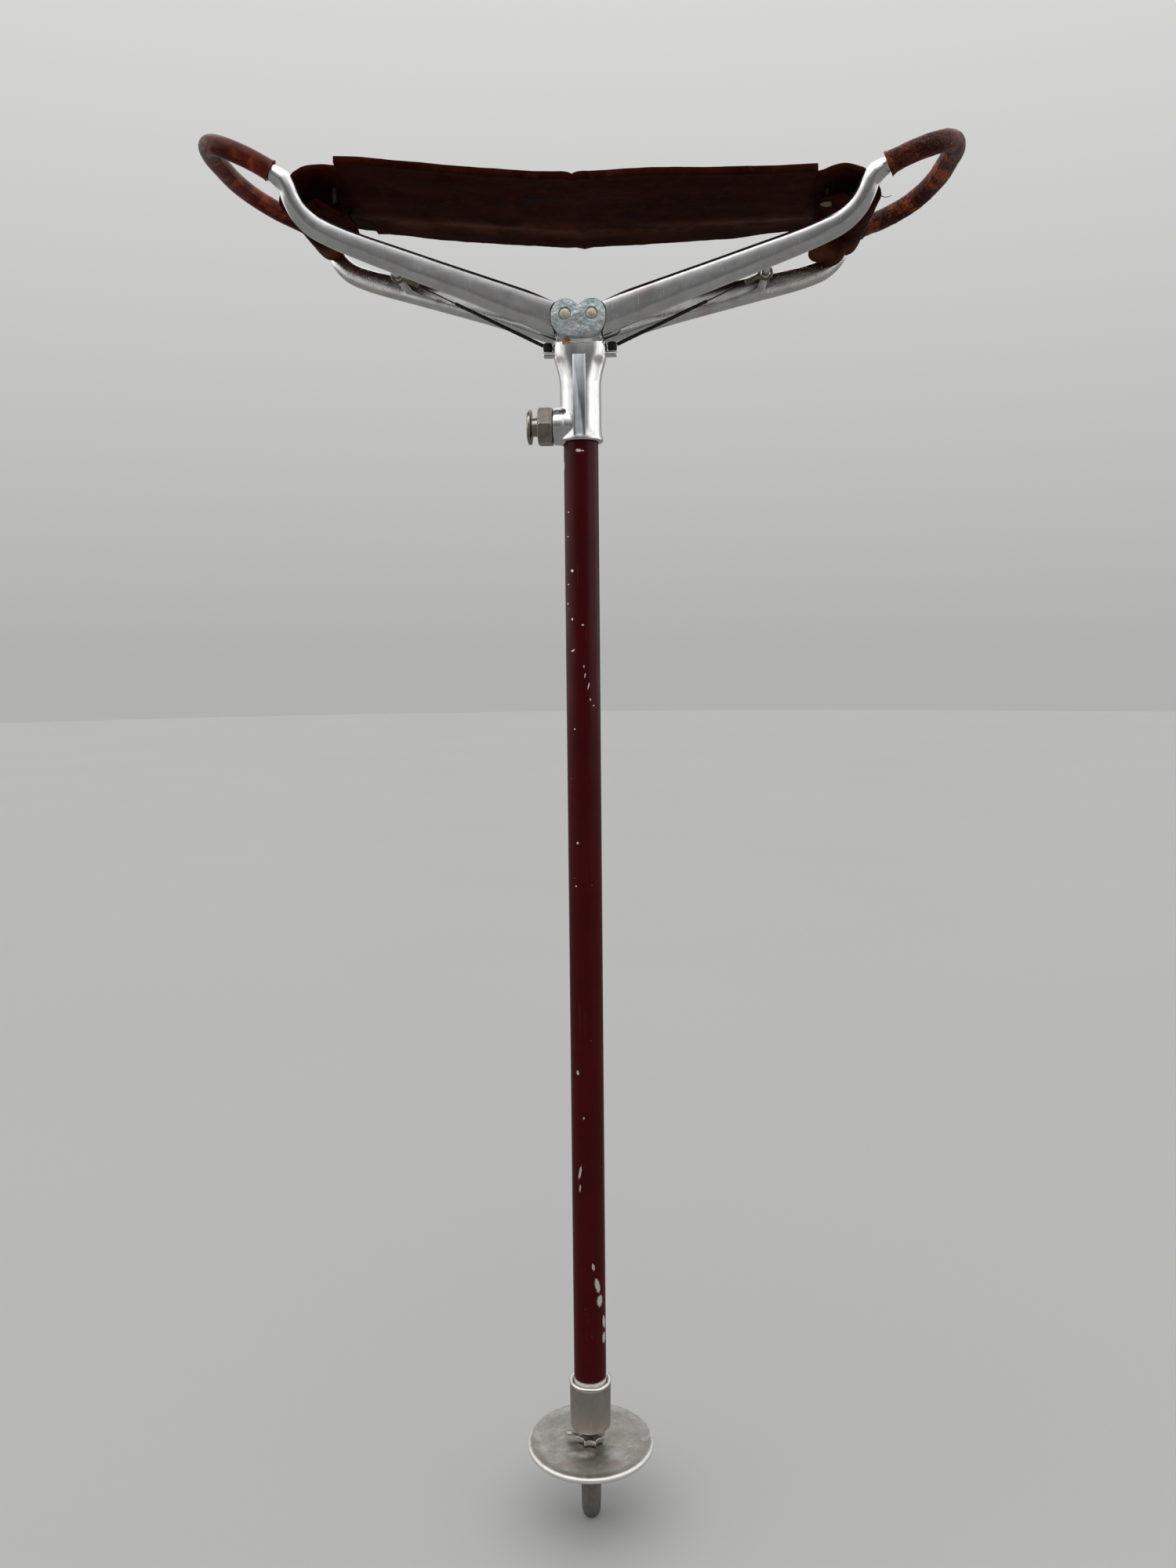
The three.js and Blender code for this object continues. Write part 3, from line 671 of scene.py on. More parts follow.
def tarnished(name, tones, marks_and_light=None):
    """dull spotted aluminium; tones are light, dark and brown"""
    mat = Surface(name)
    light, dark, brown = tones
    pale, spot_brown, scratch_grey = (0.50, 0.49, 0.465), (0.10, 0.07, 0.05), (0.72, 0.71, 0.68)
    mid = mat.noise(scale=150, detail=5, rough=0.7)
    large = mat.patches(scale=42, detail=4, rough=0.62, warp=0.6, over=(0.50, 0.68), to=(0, 0.75))
    col = mat.mix(mat.ramp(mid, over=(0.35, 0.68)), light, dark)
    col = mat.mix(large, col, brown)
    haze = mat.patches(scale=75, rough=0.6, warp=1.0, vec=mat.moved(shift=(0.4, 0.2, 0)),
                       over=(0.58, 0.72), to=(0, 0.5))
    col = mat.mix(haze, col, pale)
    rough = mat.ramp(mid, over=(0.3, 0.7), to=(0.34, 0.52))
    spots = mat.times(mat.ramp(mat.cells(scale=260), over=(0.16, 0.05)),
                      mat.patches(scale=60, detail=2, over=(0.52, 0.6)))
    col = mat.mix(mat.times(spots, 0.7), col, spot_brown)
    metallic = 1.0
    if marks_and_light:
        col, rough, metallic = marks_and_light(mat, col, rough)
    hairs = scratches(mat, scale=700, turns=((10, 70, 0), (80, 15, 0), (40, 40, 60)),
                      over=(0.68, 0.75))
    col = mat.mix(mat.times(hairs, 0.40), col, scratch_grey)
    mat.bump(mid, strength=0.18, dist=0.0005)
    mat.bump(mat.noise(scale=900, rough=0.7), strength=0.08, dist=0.0002)
    return mat.finish(Base_Color=col, Metallic=metallic, Roughness=rough)


def disc_wear_and_painted_light(mat, col, rough):
    """bright metal round the rim, a painted highlight in the dimple before the nut, a painted
    reflection in a paler grey oval at the front right, and a knurled outer edge
    """
    rim_metal, highlight_white, reflection_grey = (0.76, 0.74, 0.70), (0.96, 0.96, 0.95), (0.46, 0.46, 0.45)
    x, y, _ = mat.xyz()
    radius = mat.math("SQRT", mat.plus(mat.times(x, x), mat.times(y, y)))
    ragged = mat.jitter(radius, mat.noise(scale=220), amount=0.0012)
    rim = mat.ramp(ragged, over=(0.0418, 0.0432), to=(0, 0.8))
    col = mat.mix(rim, col, rim_metal)
    rough = mat.minus(rough, mat.times(rim, 0.16))
    # bright spot in the dimple before the nut is a painted highlight
    dimple_highlight = mat.spot(centre=(-0.0050, -0.0165, 0.0565), reach=(0.0120, 0.0062, 0.01))
    dimple_highlight = mat.jitter(dimple_highlight, mat.noise(scale=300), amount=0.8)
    dimple_highlight = mat.ramp(dimple_highlight, over=(0.15, 0.75))
    col = mat.mix(dimple_highlight, col, highlight_white)
    # paler grey oval at the front right is a painted reflection
    reflection_oval = mat.spot(centre=(0.0175, -0.0150, 0.0565), reach=(0.0125, 0.0100, 0.01))
    reflection_oval = mat.jitter(reflection_oval, mat.noise(scale=260), amount=0.7)
    col = mat.mix(mat.ramp(reflection_oval, over=(0.20, 0.60), to=(0, 0.65)), col, reflection_grey)
    rough = mat.minus(rough, mat.times(dimple_highlight, 0.10))
    hammer = mat.ramp(mat.cells(scale=70, feature="SMOOTH_F1"), over=(0.0, 0.9))
    mat.bump(hammer, strength=0.16, dist=0.0016)
    teeth = mat.math("SINE", mat.times(mat.math("ARCTAN2", y, x), 210.0))
    mat.bump(mat.times(teeth, mat.ramp(radius, over=(0.0428, 0.0437))), strength=0.25,
             dist=0.00035)
    return col, rough, mat.minus(1.0, mat.times(rim, 0.65))


def ferrule_marks(mat, col, rough):
    """browner low down, bright on the lip, with turning lines"""
    z = mat.xyz()[2]
    col = mat.mix(mat.ramp(z, over=(0.084, 0.070), to=(0, 0.6)), col, (0.46, 0.385, 0.31))
    lip = mat.ramp(z, over=(0.0990, 0.1002))
    col = mat.mix(lip, col, (0.74, 0.72, 0.66))
    lines = mat.noise(scale=1.0, detail=2, vec=mat.moved(scale=(40, 40, 2600)))
    mat.bump(lines, strength=0.12, dist=0.00012)
    return col, mat.minus(rough, mat.times(lip, 0.12)), 1.0


def old_steel(name, base, dark, bright, rough, wear=0.8, rust=0.6, ribs=False):
    """rusted metal, rubbed bright on its edges; ribs adds fine rings along X"""
    mat = Surface(name)
    mid = mat.noise(scale=210, detail=5, rough=0.7)
    between = tuple(0.5 * (p + q) for p, q in zip(base, dark))
    col = mat.mix(mat.ramp(mid, over=(0.38, 0.66)), base, between)
    col = mat.mix(mat.patches(scale=90, rough=0.6, warp=0.5, over=(0.50, 0.70), to=(0, rust)),
                  col, dark)
    rubbed = mat.times(mat.edge(radius=0.0005, over=(0.02, 0.20)),
                       mat.patches(scale=500, over=(0.3, 0.55), to=(0.35, 1.0)))
    col = mat.mix(mat.times(rubbed, wear), col, bright)
    roughness = mat.minus(mat.ramp(mid, over=(0.3, 0.7), to=(rough, rough + 0.16)),
                          mat.times(rubbed, 0.12))
    if ribs:
        pitch = 0.00062
        rings = mat.math("SINE", mat.times(mat.xyz()[0], 2 * math.pi / pitch))
        mat.bump(rings, strength=0.35, dist=0.00012)
    mat.bump(mat.noise(scale=700, detail=4, rough=0.7), strength=0.22, dist=0.0003)
    mat.bump(mid, strength=0.12, dist=0.0004)
    return mat.finish(Base_Color=col, Metallic=1.0, Roughness=roughness)


def pin_metal(name):
    mat = Surface(name)
    straw, pale, brown = (0.62, 0.57, 0.42), (0.78, 0.74, 0.60), (0.42, 0.35, 0.20)
    cloud = mat.noise(scale=420, detail=4, rough=0.6)
    col = mat.mix(mat.ramp(cloud, over=(0.35, 0.68)), straw, pale)
    col = mat.mix(mat.patches(scale=150, detail=2, over=(0.55, 0.7), to=(0, 0.5)), col, brown)
    mat.bump(mat.noise(scale=900, rough=0.6), strength=0.25, dist=0.0003)
    rough = mat.ramp(cloud, over=(0.3, 0.7), to=(0.34, 0.52))
    return mat.finish(Base_Color=col, Metallic=0.85, Roughness=rough)


# ------------------------------------------------------------------ paint
# bare metal chips on the front of the tube, in frame mm: x, z, half width, half height, slant in
# degrees
CHIPS = [
    (-1.0, 730.8, 1.6, 0.8, -8), (1.6, 730.6, 0.7, 0.4, -8), (-7.9, 692.8, 0.32, 0.32, 0),
    (-8.6, 677.3, 0.29, 0.29, 0), (-5.8, 655.6, 0.7, 0.8, 20), (-8.5, 647.0, 0.29, 0.29, 0),
    (-9.1, 634.7, 0.36, 0.51, 10), (-6.2, 624.7, 0.44, 0.75, 0), (0.7, 621, 0.62, 0.5, 0),
    (-5.9, 604.6, 1.35, 0.44, 30), (1.1, 594.4, 0.36, 0.73, 0), (1.8, 588.7, 0.3, 1.31, -8),
    (4.0, 581.8, 0.36, 2.04, -12), (5.0, 573.1, 0.26, 0.6, 0), (7.0, 569.1, 0.4, 0.3, 0),
    (-5.4, 553.9, 0.4, 0.45, 0), (-4.2, 479.2, 0.7, 0.7, 0), (-5.5, 450.5, 0.45, 0.5, 0),
    (-5.8, 323.8, 0.8, 1.4, 0), (-1.9, 292.9, 0.5, 0.8, 0), (-4.9, 254.5, 0.7, 4.2, -10),
    (-5.0, 243.5, 0.5, 2.2, -5), (3.5, 188.1, 0.8, 2.2, 10), (6.1, 174.2, 1.4, 4.6, 12),
    (7.6, 163.0, 1.7, 3.6, 0), (10.1, 146.1, 0.8, 4.0, 5), (10.0, 134.8, 0.9, 3.2, 0),
]
SHAFT_R = 11.1


def chip_field(mat):
    """highest at the middle of each chip in the table"""
    total = None
    smallest, grow, reach_y = 0.35, 1.5, 0.0035
    for x, z, half_x, half_z, slant in CHIPS:
        y = -math.sqrt(max(SHAFT_R ** 2 - x * x, 1))
        offset = mat.vector("SUBTRACT", mat.coords, (x / 1000, y / 1000, z / 1000))
        turned = mat.node("ShaderNodeMapping", vector_type="TEXTURE")
        mat.put(turned.inputs["Vector"], offset)
        turned.inputs["Rotation"].default_value = (0, math.radians(-slant), 0)
        turned.inputs["Scale"].default_value = (max(half_x, smallest) * grow / 1000, reach_y,
                                                max(half_z, smallest) * grow / 1000)
        spot = mat.falloff(turned.outputs[0])
        total = spot if total is None else mat.larger(total, spot)
    return total


def paint(name):
    """maroon paint, chipped to bare metal"""
    mat = Surface(name)
    base = mat.mix(mat.patches(scale=26, rough=0.6, over=(0.35, 0.7)),
                   (0.036, 0.0004, 0.0010), (0.050, 0.0007, 0.0015))
    ragged = mat.times(mat.minus(mat.noise(scale=1500, detail=4, rough=0.75), 0.5), 1.5)
    placed = mat.ramp(mat.plus(chip_field(mat), ragged), over=(0.22, 0.30))
    _, y, z = mat.xyz()
    # stray chips on the rear half
    cells = mat.cells(scale=75, vec=mat.moved(scale=(1.0, 1.0, 0.6)))
    cells = mat.plus(cells, mat.times(ragged, 0.10))
    patch = mat.times(mat.patches(scale=21, detail=2, vec=mat.moved(shift=(3, 1, 2)),
                                  over=(0.60, 0.64)),
                      mat.ramp(cells, over=(0.115, 0.095)))
    stray = mat.times(patch, mat.ramp(y, over=(-0.002, 0.003)))
    tiny = mat.times(mat.ramp(mat.cells(scale=260), over=(0.075, 0.055)),
                     mat.patches(scale=35, detail=2, over=(0.62, 0.66)))
    # bare ring at the foot of the paint
    foot = mat.ramp(mat.plus(z, mat.times(ragged, 0.0012)), over=(0.1046, 0.1036))
    chip = mat.larger(mat.larger(placed, stray), mat.larger(tiny, foot))
    metal = mat.mix(mat.noise(scale=600), (0.62, 0.60, 0.56), (0.90, 0.88, 0.84))
    col = mat.mix(chip, base, metal)
    hairs = scratches(mat, scale=500, turns=((4, 6, 0), (12, -9, 20)), over=(0.69, 0.76))
    col = mat.mix(mat.times(hairs, 0.10), col, (0.25, 0.10, 0.09))
    smudge = mat.noise(scale=60, rough=0.6)
    mat.bump(mat.times(chip, -1.0), strength=0.7, dist=0.0002)
    mat.bump(mat.noise(scale=330, detail=2), strength=0.035, dist=0.0004)
    rough = mat.plus(mat.ramp(smudge, over=(0.3, 0.7), to=(0.26, 0.38)), mat.times(chip, 0.12))
    return mat.finish(
        Base_Color=col, Metallic=mat.times(chip, 0.85), Roughness=rough,
        Coat_Weight=mat.minus(0.05, mat.times(chip, 0.05)),
        Coat_Roughness=mat.ramp(smudge, over=(0.35, 0.65), to=(0.10, 0.20)),
        Specular_IOR_Level=0.12)


# ------------------------------------------------------------------ leather, rubber and floor
def leather(name, tones, rough, spec, grain=1.0, cracks=0.0, coat=0.0, orange=None, painted_sheen=None):
    """tones are dark, mid and light; the last argument is (y, half width, amount, colour) of a pale
    band of painted sheen
    """
    mat = Surface(name)
    dark, mid, light = tones
    fine = mat.noise(scale=120, detail=5, rough=0.68)
    broad = mat.patches(scale=34, detail=4, rough=0.62, warp=0.5, over=(0.36, 0.62))
    col = mat.mix(broad, dark, mid)
    col = mat.mix(mat.ramp(fine, over=(0.52, 0.74), to=(0, 0.8)), col, light)
    roughness = mat.ramp(fine, over=(0.3, 0.7), to=rough)
    if orange:
        rubbed = mat.times(mat.patches(scale=62, detail=4, rough=0.65, warp=0.8,
                                       vec=mat.moved(shift=(1.3, 0.4, 2.2)), over=(0.50, 0.62)),
                           mat.ramp(fine, over=(0.35, 0.6), to=(0.35, 1.0)))
        col = mat.mix(rubbed, col, orange)
    # pale band along the strap is painted sheen
    if painted_sheen:
        sheen_y, half_width, amount, colour = painted_sheen
        away = mat.size(mat.minus(mat.xyz()[1], sheen_y))
        band = mat.times(mat.ramp(away, over=(half_width, 0.0)),
                         mat.patches(scale=45, rough=0.6, over=(0.35, 0.62)))
        col = mat.mix(mat.times(band, amount), col, colour)
        roughness = mat.minus(roughness, mat.times(band, 0.08))
    if cracks:
        cells = mat.cells(scale=330, feature="DISTANCE_TO_EDGE",
                          vec=mat.moved(shift=(0.2, 0.3, 0.1)))
        zone = mat.patches(scale=48, rough=0.6, over=(0.34, 0.56))
        line = mat.times(mat.ramp(mat.jitter(cells, fine, amount=0.10), over=(0.085, 0.02)), zone)
        col = mat.mix(mat.times(line, cracks), col, tuple(c * 0.22 for c in dark))
        flake = mat.times(mat.patches(scale=260, detail=4, rough=0.75, over=(0.60, 0.68)), zone)
        pale = tuple(min(1, c * 1.9 + 0.02) for c in light)
        col = mat.mix(mat.times(flake, 0.75 * cracks), col, pale)
        roughness = mat.plus(roughness, mat.times(line, 0.2))
        mat.bump(mat.times(line, -1.0), strength=0.75, dist=0.0006)
        mat.bump(fine, strength=0.5, dist=0.0011)
    crease = mat.cells(scale=520, feature="DISTANCE_TO_EDGE", vec=mat.moved(scale=(1, 1, 0.75)))
    wrinkle = mat.noise(scale=1.0, detail=4, rough=0.7, warp=0.4,
                        vec=mat.moved(scale=(260, 260, 80), turn=(20, 35, 0)))
    mat.bump(mat.ramp(crease, over=(0.0, 0.11)), strength=0.16 * grain, dist=0.00025)
    mat.bump(mat.cells(scale=1150), strength=0.14 * grain, dist=0.00022)
    mat.bump(wrinkle, strength=0.20 * grain, dist=0.0006)
    return mat.finish(Base_Color=col, Roughness=roughness, Specular_IOR_Level=spec,
                      Coat_Weight=coat, Coat_Roughness=0.22)


def cut_edge(name):
    """raw edge of the sling: tan with dark patches and fibres"""
    mat = Surface(name)
    dark, tan = (0.050, 0.027, 0.013), (0.125, 0.076, 0.036)
    fibre_tan, fleck = (0.22, 0.150, 0.080), (0.30, 0.22, 0.13)
    cloud = mat.noise(scale=120, detail=5, rough=0.7)
    fibre = mat.noise(scale=1.0, rough=0.7, vec=mat.moved(scale=(300, 900, 2600)))
    col = mat.mix(mat.ramp(cloud, over=(0.38, 0.64)), dark, tan)
    col = mat.mix(mat.ramp(fibre, over=(0.50, 0.72), to=(0, 0.6)), col, fibre_tan)
    col = mat.mix(mat.patches(scale=420, over=(0.62, 0.68), to=(0, 0.8)), col, fleck)
    mat.bump(fibre, strength=0.4, dist=0.0004)
    rough = mat.ramp(cloud, over=(0.3, 0.7), to=(0.42, 0.62))
    return mat.finish(Base_Color=col, Roughness=rough, Specular_IOR_Level=0.4)


def rubber(name):
    """black, with fine rings along X"""
    mat = Surface(name)
    fine = mat.noise(scale=700, rough=0.6)
    col = mat.mix(mat.ramp(fine, over=(0.4, 0.7)), (0.006, 0.006, 0.006), (0.020, 0.019, 0.018))
    pitch = 0.0011
    rings = mat.math("SINE", mat.times(mat.xyz()[0], 2 * math.pi / pitch))
    mat.bump(mat.times(rings, 1.0), strength=0.25, dist=0.00015)
    mat.bump(fine, strength=0.3, dist=0.0002)
    return mat.finish(Base_Color=col, Roughness=0.55, Specular_IOR_Level=0.35)


def old_grease(name):
    mat = Surface(name)
    col = mat.mix(mat.patches(scale=700, detail=4, rough=0.7, over=(0.35, 0.65)),
                  (0.16, 0.070, 0.018), (0.46, 0.26, 0.10))
    mat.bump(mat.noise(scale=900, detail=4, rough=0.7), strength=0.7, dist=0.0006)
    return mat.finish(Base_Color=col, Roughness=0.45)


def floor_material(name):
    """plain pale floor, held darker where polished metal mirrors it"""
    mat = Surface(name)
    pale = mat.mix(mat.noise(scale=1.3, detail=2), (0.338, 0.341, 0.334), (0.350, 0.352, 0.345))
    mirrored = mat.node("ShaderNodeLightPath").outputs["Is Glossy Ray"]
    col = mat.mix(mirrored, pale, (0.15, 0.15, 0.145))
    return mat.finish(Base_Color=col, Roughness=0.9, Specular_IOR_Level=0.1)


# finishes: (material, slot name)
PAINT = (paint("maroon_paint"), "painted_tube")
WING_METAL = (aluminium("polished_aluminium", base=(0.80, 0.80, 0.80), rough=(0.14, 0.24),
                        marks_and_light=wing_marks), "polished_aluminium")
HEAD_METAL = (aluminium("head_aluminium", base=(0.80, 0.80, 0.79), rough=(0.15, 0.24),
                        marks_and_light=head_reflection_and_brushing), "polished_aluminium")
HEART_METAL = (aluminium("heart_face", base=(0.74, 0.77, 0.79), rough=(0.24, 0.36),
                         marks_and_light=heart_mottle_and_highlights), "polished_aluminium")
DISC_METAL = (tarnished("disc_aluminium", DISC_TONES, disc_wear_and_painted_light), "satin_aluminium")
FERRULE_METAL = (tarnished("ferrule_aluminium", SOCKET_TONES, ferrule_marks), "satin_aluminium")
plug_metal = tarnished("plug_aluminium", SOCKET_TONES)
NUT_STEEL = (old_steel("nut_steel", base=(0.46, 0.435, 0.40), dark=(0.16, 0.125, 0.10),
                       bright=(0.93, 0.91, 0.87), rough=0.26, wear=1.0, rust=0.5), "dull_steel")
HEX_STEEL = (old_steel("plunger_steel", base=(0.40, 0.37, 0.32), dark=(0.13, 0.11, 0.09),
                       bright=(0.80, 0.76, 0.70), rough=0.30, wear=0.9, rust=0.5, ribs=True),
             "dull_steel")
KNOB_STEEL = (old_steel("knob_steel", base=(0.46, 0.43, 0.37), dark=(0.16, 0.13, 0.10),
                        bright=(0.85, 0.82, 0.76), rough=0.24, rust=0.45), "dull_steel")
SPIKE_STEEL = (old_steel("spike_steel", base=(0.42, 0.40, 0.36), dark=(0.20, 0.175, 0.15),
                         bright=(0.66, 0.64, 0.60), rough=0.42, wear=0.5, rust=0.7), "dull_steel")
SPRING_STEEL = (old_steel("spring_steel", base=(0.42, 0.40, 0.38), dark=(0.2, 0.18, 0.16),
                          bright=(0.7, 0.7, 0.68), rough=0.30, wear=0.3, rust=0.3), "dull_steel")
PIN_BRASS = (pin_metal("pin_brass"), "brass")
EYE_BRASS = (old_steel("eye_brass", base=(0.32, 0.275, 0.19), dark=(0.12, 0.090, 0.055),
                       bright=(0.58, 0.52, 0.40), rough=0.34), "brass")
GRIP = {
    "left": (leather("grip_smooth", ((0.034, 0.0036, 0.0020), (0.088, 0.0100, 0.0050),
                                     (0.150, 0.026, 0.011)),
                     rough=(0.22, 0.34), grain=0.5, coat=0.10, spec=0.08,
                     orange=(0.21, 0.036, 0.009)), "handle_leather"),
    "right": (leather("grip_cracked", ((0.030, 0.0050, 0.0030), (0.074, 0.0130, 0.0070),
                                       (0.13, 0.032, 0.015)),
                      rough=(0.26, 0.44), grain=1.4, cracks=0.9, coat=0.06, spec=0.08,
                      orange=(0.26, 0.050, 0.010)), "handle_leather"),
}
# sling underside; its pale band at y = 30 mm is painted sheen
sling_leather = leather("sling_leather", ((0.0150, 0.0024, 0.0013), (0.0290, 0.0052, 0.0026),
                                          (0.048, 0.0120, 0.0064)),
                        rough=(0.44, 0.58), grain=0.6, spec=0.008,
                        painted_sheen=(0.030, 0.018, 0.85, (0.090, 0.030, 0.015)))
sling_top = leather("sling_grain_side", ((0.012, 0.0036, 0.0022), (0.026, 0.0085, 0.005),
                                         (0.056, 0.018, 0.010)),
                    rough=(0.38, 0.52), grain=1.2, spec=0.07, coat=0.02)
RIVET_STEEL = (old_steel("rivet_steel", base=(0.30, 0.25, 0.19), dark=(0.12, 0.085, 0.06),
                         bright=(0.62, 0.56, 0.46), rough=0.42), "brass")
tab_leather = leather("tab_leather", ((0.115, 0.0250, 0.0130), (0.240, 0.0600, 0.0330),
                                      (0.380, 0.120, 0.068)),
                      rough=(0.34, 0.48), grain=1.2, coat=0.03, cracks=0.2, spec=0.14)
SLING = ([sling_leather, sling_top, tab_leather, cut_edge("sling_edge")], "sling_leather")
CORD = (rubber("cord_rubber"), "black_rubber")

# ------------------------------------------------------------------ shaft tube
SHAFT_BASE, SHAFT_TOP, SHAFT_BORE, SHAFT_EASE = 19, 722, 9.6, 0.25
HOLE_HEIGHTS = (PLUNGER_Z, 669.5)


def shaft():
    low = SHAFT_BASE + SHAFT_EASE
    side = [(SHAFT_R, low + (SHAFT_TOP - SHAFT_BASE - 2 * SHAFT_EASE) * i / 24) for i in range(25)]
    tube = revolve("shaft", [(SHAFT_BORE, SHAFT_BASE), (9.9, 18.95), (10.9, SHAFT_BASE)] + side
                   + [(10.9, SHAFT_TOP), (SHAFT_BORE, SHAFT_TOP)], 96, closed=True)
    for z in HOLE_HEIGHTS:
        cut(tube, rod(3.5, -16, -6, segments=40, axis="x", at=(0, 0, z)))
    place(clean(tube), PAINT, "stick", "shaft_tube", sharp=40)


shaft()
plug_mesh = frame["nodes"]["end_plug"].data
plug_mesh.materials.clear()
plug_mesh.materials.append(plug_metal)

# ------------------------------------------------------------------ foot
# outlines of (radius, height)
FERRULE = [
    (4.3, 15.5), (12.6, 15.5), (13.3, 15.6), (13.75, 15.95), (13.95, 16.6), (14.0, 20),
    (14.05, 30), (14.12, 42), (14.15, 45.9), (14.3, 46.6), (14.42, 47.2), (14.45, 47.9),
    (14.3, 48.5), (13.9, 48.9), (13.4, 49.0), (12.8, 48.85), (12.3, 48.5), (11.85, 47.9),
    (11.6, 47.2), (11.5, 46), (11.5, 18.7), (4.3, 18.7)]
SPIKE_TIP = [(0, -53.0), (1.3, -52.9), (2.6, -52.55), (3.7, -51.9), (4.6, -51.0), (5.3, -49.9),
             (5.8, -48.4), (6.08, -46.7), (6.2, -45)]
SPIKE_NECK = [(7.22, -4), (7.15, -0.6), (7.0, 0.0), (6.85, 0.35), (6.4, 0.6), (4.0, 0.6),
              (4.0, 44), (0, 44)]
DISC_RIM = [(4.3, 0.9), (7.6, 0.9), (7.6, 0.0), (20, 0.0), (32, 0.0), (41.4, 0.0), (42.4, 0.12),
            (43.2, 0.5), (43.75, 1.15), (44.0, 2.0), (43.95, 2.9), (43.6, 3.55), (43.1, 3.95),
            (42.3, 4.12), (41.4, 4.08), (40.4, 3.9), (39.3, 3.7), (38, 3.52)]
DISC_HUB = [(12.0, 3.62), (11, 3.66), (9.5, 3.72), (7.5, 3.78), (4.3, 3.8)]


def foot_socket():
    ferrule = revolve("foot_socket", FERRULE, 96, closed=True)
    cut(ferrule, box("slit", 0.9, 1.35, -15, -13.55, 27.0, 31.6))
    for v in ferrule.data.vertices:     # the rolled lip is a little uneven
        x, y, z = v.co
        if z > 45 and math.hypot(x, y) > 11.6:
            angle = math.atan2(y, x)
            v.co.z += 0.22 * math.sin(3 * angle + 0.6) + 0.12 * math.sin(7 * angle)
    place(clean(ferrule), FERRULE_METAL, "stick", "ferrule", sharp=40)


def ground_spike():
    tip = [(r + 0.45 * smoothstep(0, 5, r), h) for r, h in SPIKE_TIP]
    taper = [(6.65 + 0.55 * i / 12, -45 + 37 * i / 12) for i in range(1, 13)]
    spike = revolve("ground_spike", tip + taper + SPIKE_NECK, 64)
    for v in spike.data.vertices:       # forging marks
        if v.co.z < -2:
            swell = 1 + 0.012 * wobble(v.co.x * 0.25, v.co.y * 0.25, v.co.z * 0.12, 3)
            v.co.x *= swell
            v.co.y *= swell
    place(spike, SPIKE_STEEL, "stick", "spike", sharp=40)


def ground_plate():
    radii = [38 - i * 1.2 for i in range(1, 22)]
    dish = [(r, 3.42 + 0.28 * smoothstep(38, 12, r)) for r in radii]
    disc = revolve("ground_plate", DISC_RIM + dish + DISC_HUB, 144, closed=True)
    for v in disc.data.vertices:
        x, y, z = v.co
        r = math.hypot(x, y)
        if z > 3.2:                     # two hollows and a slight unevenness on top
            rise = -0.55 * bell(x, -4.5, 8.5) * bell(y, -15, 4.6)
            rise -= 0.45 * bell(x, 17, 11) * bell(y, -5, 9)
            rise += 0.35 * wobble(x * 0.07, y * 0.07, 0, 8) * smoothstep(42, 36, r)
            rise += 0.10 * wobble(x * 0.3, y * 0.3, 0, 5)
            v.co.z += rise * smoothstep(43.5, 39, r) * smoothstep(7, 10, r)
        if r > 41:                      # worn rim
            angle = math.atan2(y, x)
            wear = max(0, wobble(6 * math.cos(angle), 6 * math.sin(angle), 0, 2))
            shrink = 1 - 0.0035 * wear * smoothstep(41, 44, r)
            v.co.x, v.co.y = x * shrink, y * shrink
    place(disc, DISC_METAL, "ground_disc", "ground_disc", sharp=50)


NUT_R, NUT_HOLLOW = 10.4, 2.2
# (scale of the star, height)
NUT_LAYERS = [(0.90, 4.3), (0.975, 4.5), (1.0, 4.85), (1.0, 7.5), (0.985, 7.85), (0.95, 8.1),
              (0.86, 8.25), (0.80, 8.2), (0.70, 8.25), (0.60, 8.6)]


def star_nut():
    """eight points with hollow flanks, a domed top and a tab towards -X"""
    star = []
    for i in range(96):
        angle = 2 * math.pi * i / 96
        r = NUT_R - NUT_HOLLOW * abs(math.sin((angle - math.pi / 8) * 4)) ** 0.75
        star.append((r * math.cos(angle), r * math.sin(angle)))
    nut = stack("star_nut", star, NUT_LAYERS)
    verts, rows = [], 15
    for i in range(rows):
        t = i / (rows - 1)
        x = -5.6 - 11.4 * t
        w = 2.9 - 0.7 * t if t < 0.82 else (2.33 - 1.4 * ((t - 0.82) / 0.18) ** 2)
        middle = 6.4 + 0.7 * math.sin(t * math.pi * 0.9) + 1.7 * t
        section = ((-w, -0.55), (-w, 0.55), (0, 0.75), (w, 0.55), (w, -0.55), (0, -0.6))
        verts += [(x, y, middle + z) for y, z in section]
    union(nut, new_obj("tab", verts, ring_faces(rows, 6) + cap_faces(rows, 6)))
    cut(nut, revolve("bore", [(0, 3), (4.3, 3), (4.3, 7.9), (5.0, 8.65), (5.0, 10), (0, 10)], 48))
    place(bevel(clean(nut), 0.18, 2, 40), NUT_STEEL, "lock_nut", "star_lock_nut", sharp=50)


foot_socket()
ground_spike()
ground_plate()
star_nut()

# ------------------------------------------------------------------ head
LOBE_R = 9.0
CHEEK_IN, CHEEK_OUT, CHEEK_ROUND = 12.0, 17.0, 0.85
# (radius, height)
BARREL = [(0, 684.0), (13.6, 684.0), (14.0, 684.2), (14.3, 684.9), (14.32, 685.8), (14.1, 687.0),
          (13.7, 688.5), (13.35, 690.4), (13.15, 692.5), (13.1, 700), (13.1, 712), (13.1, 724),
          (0, 724)]
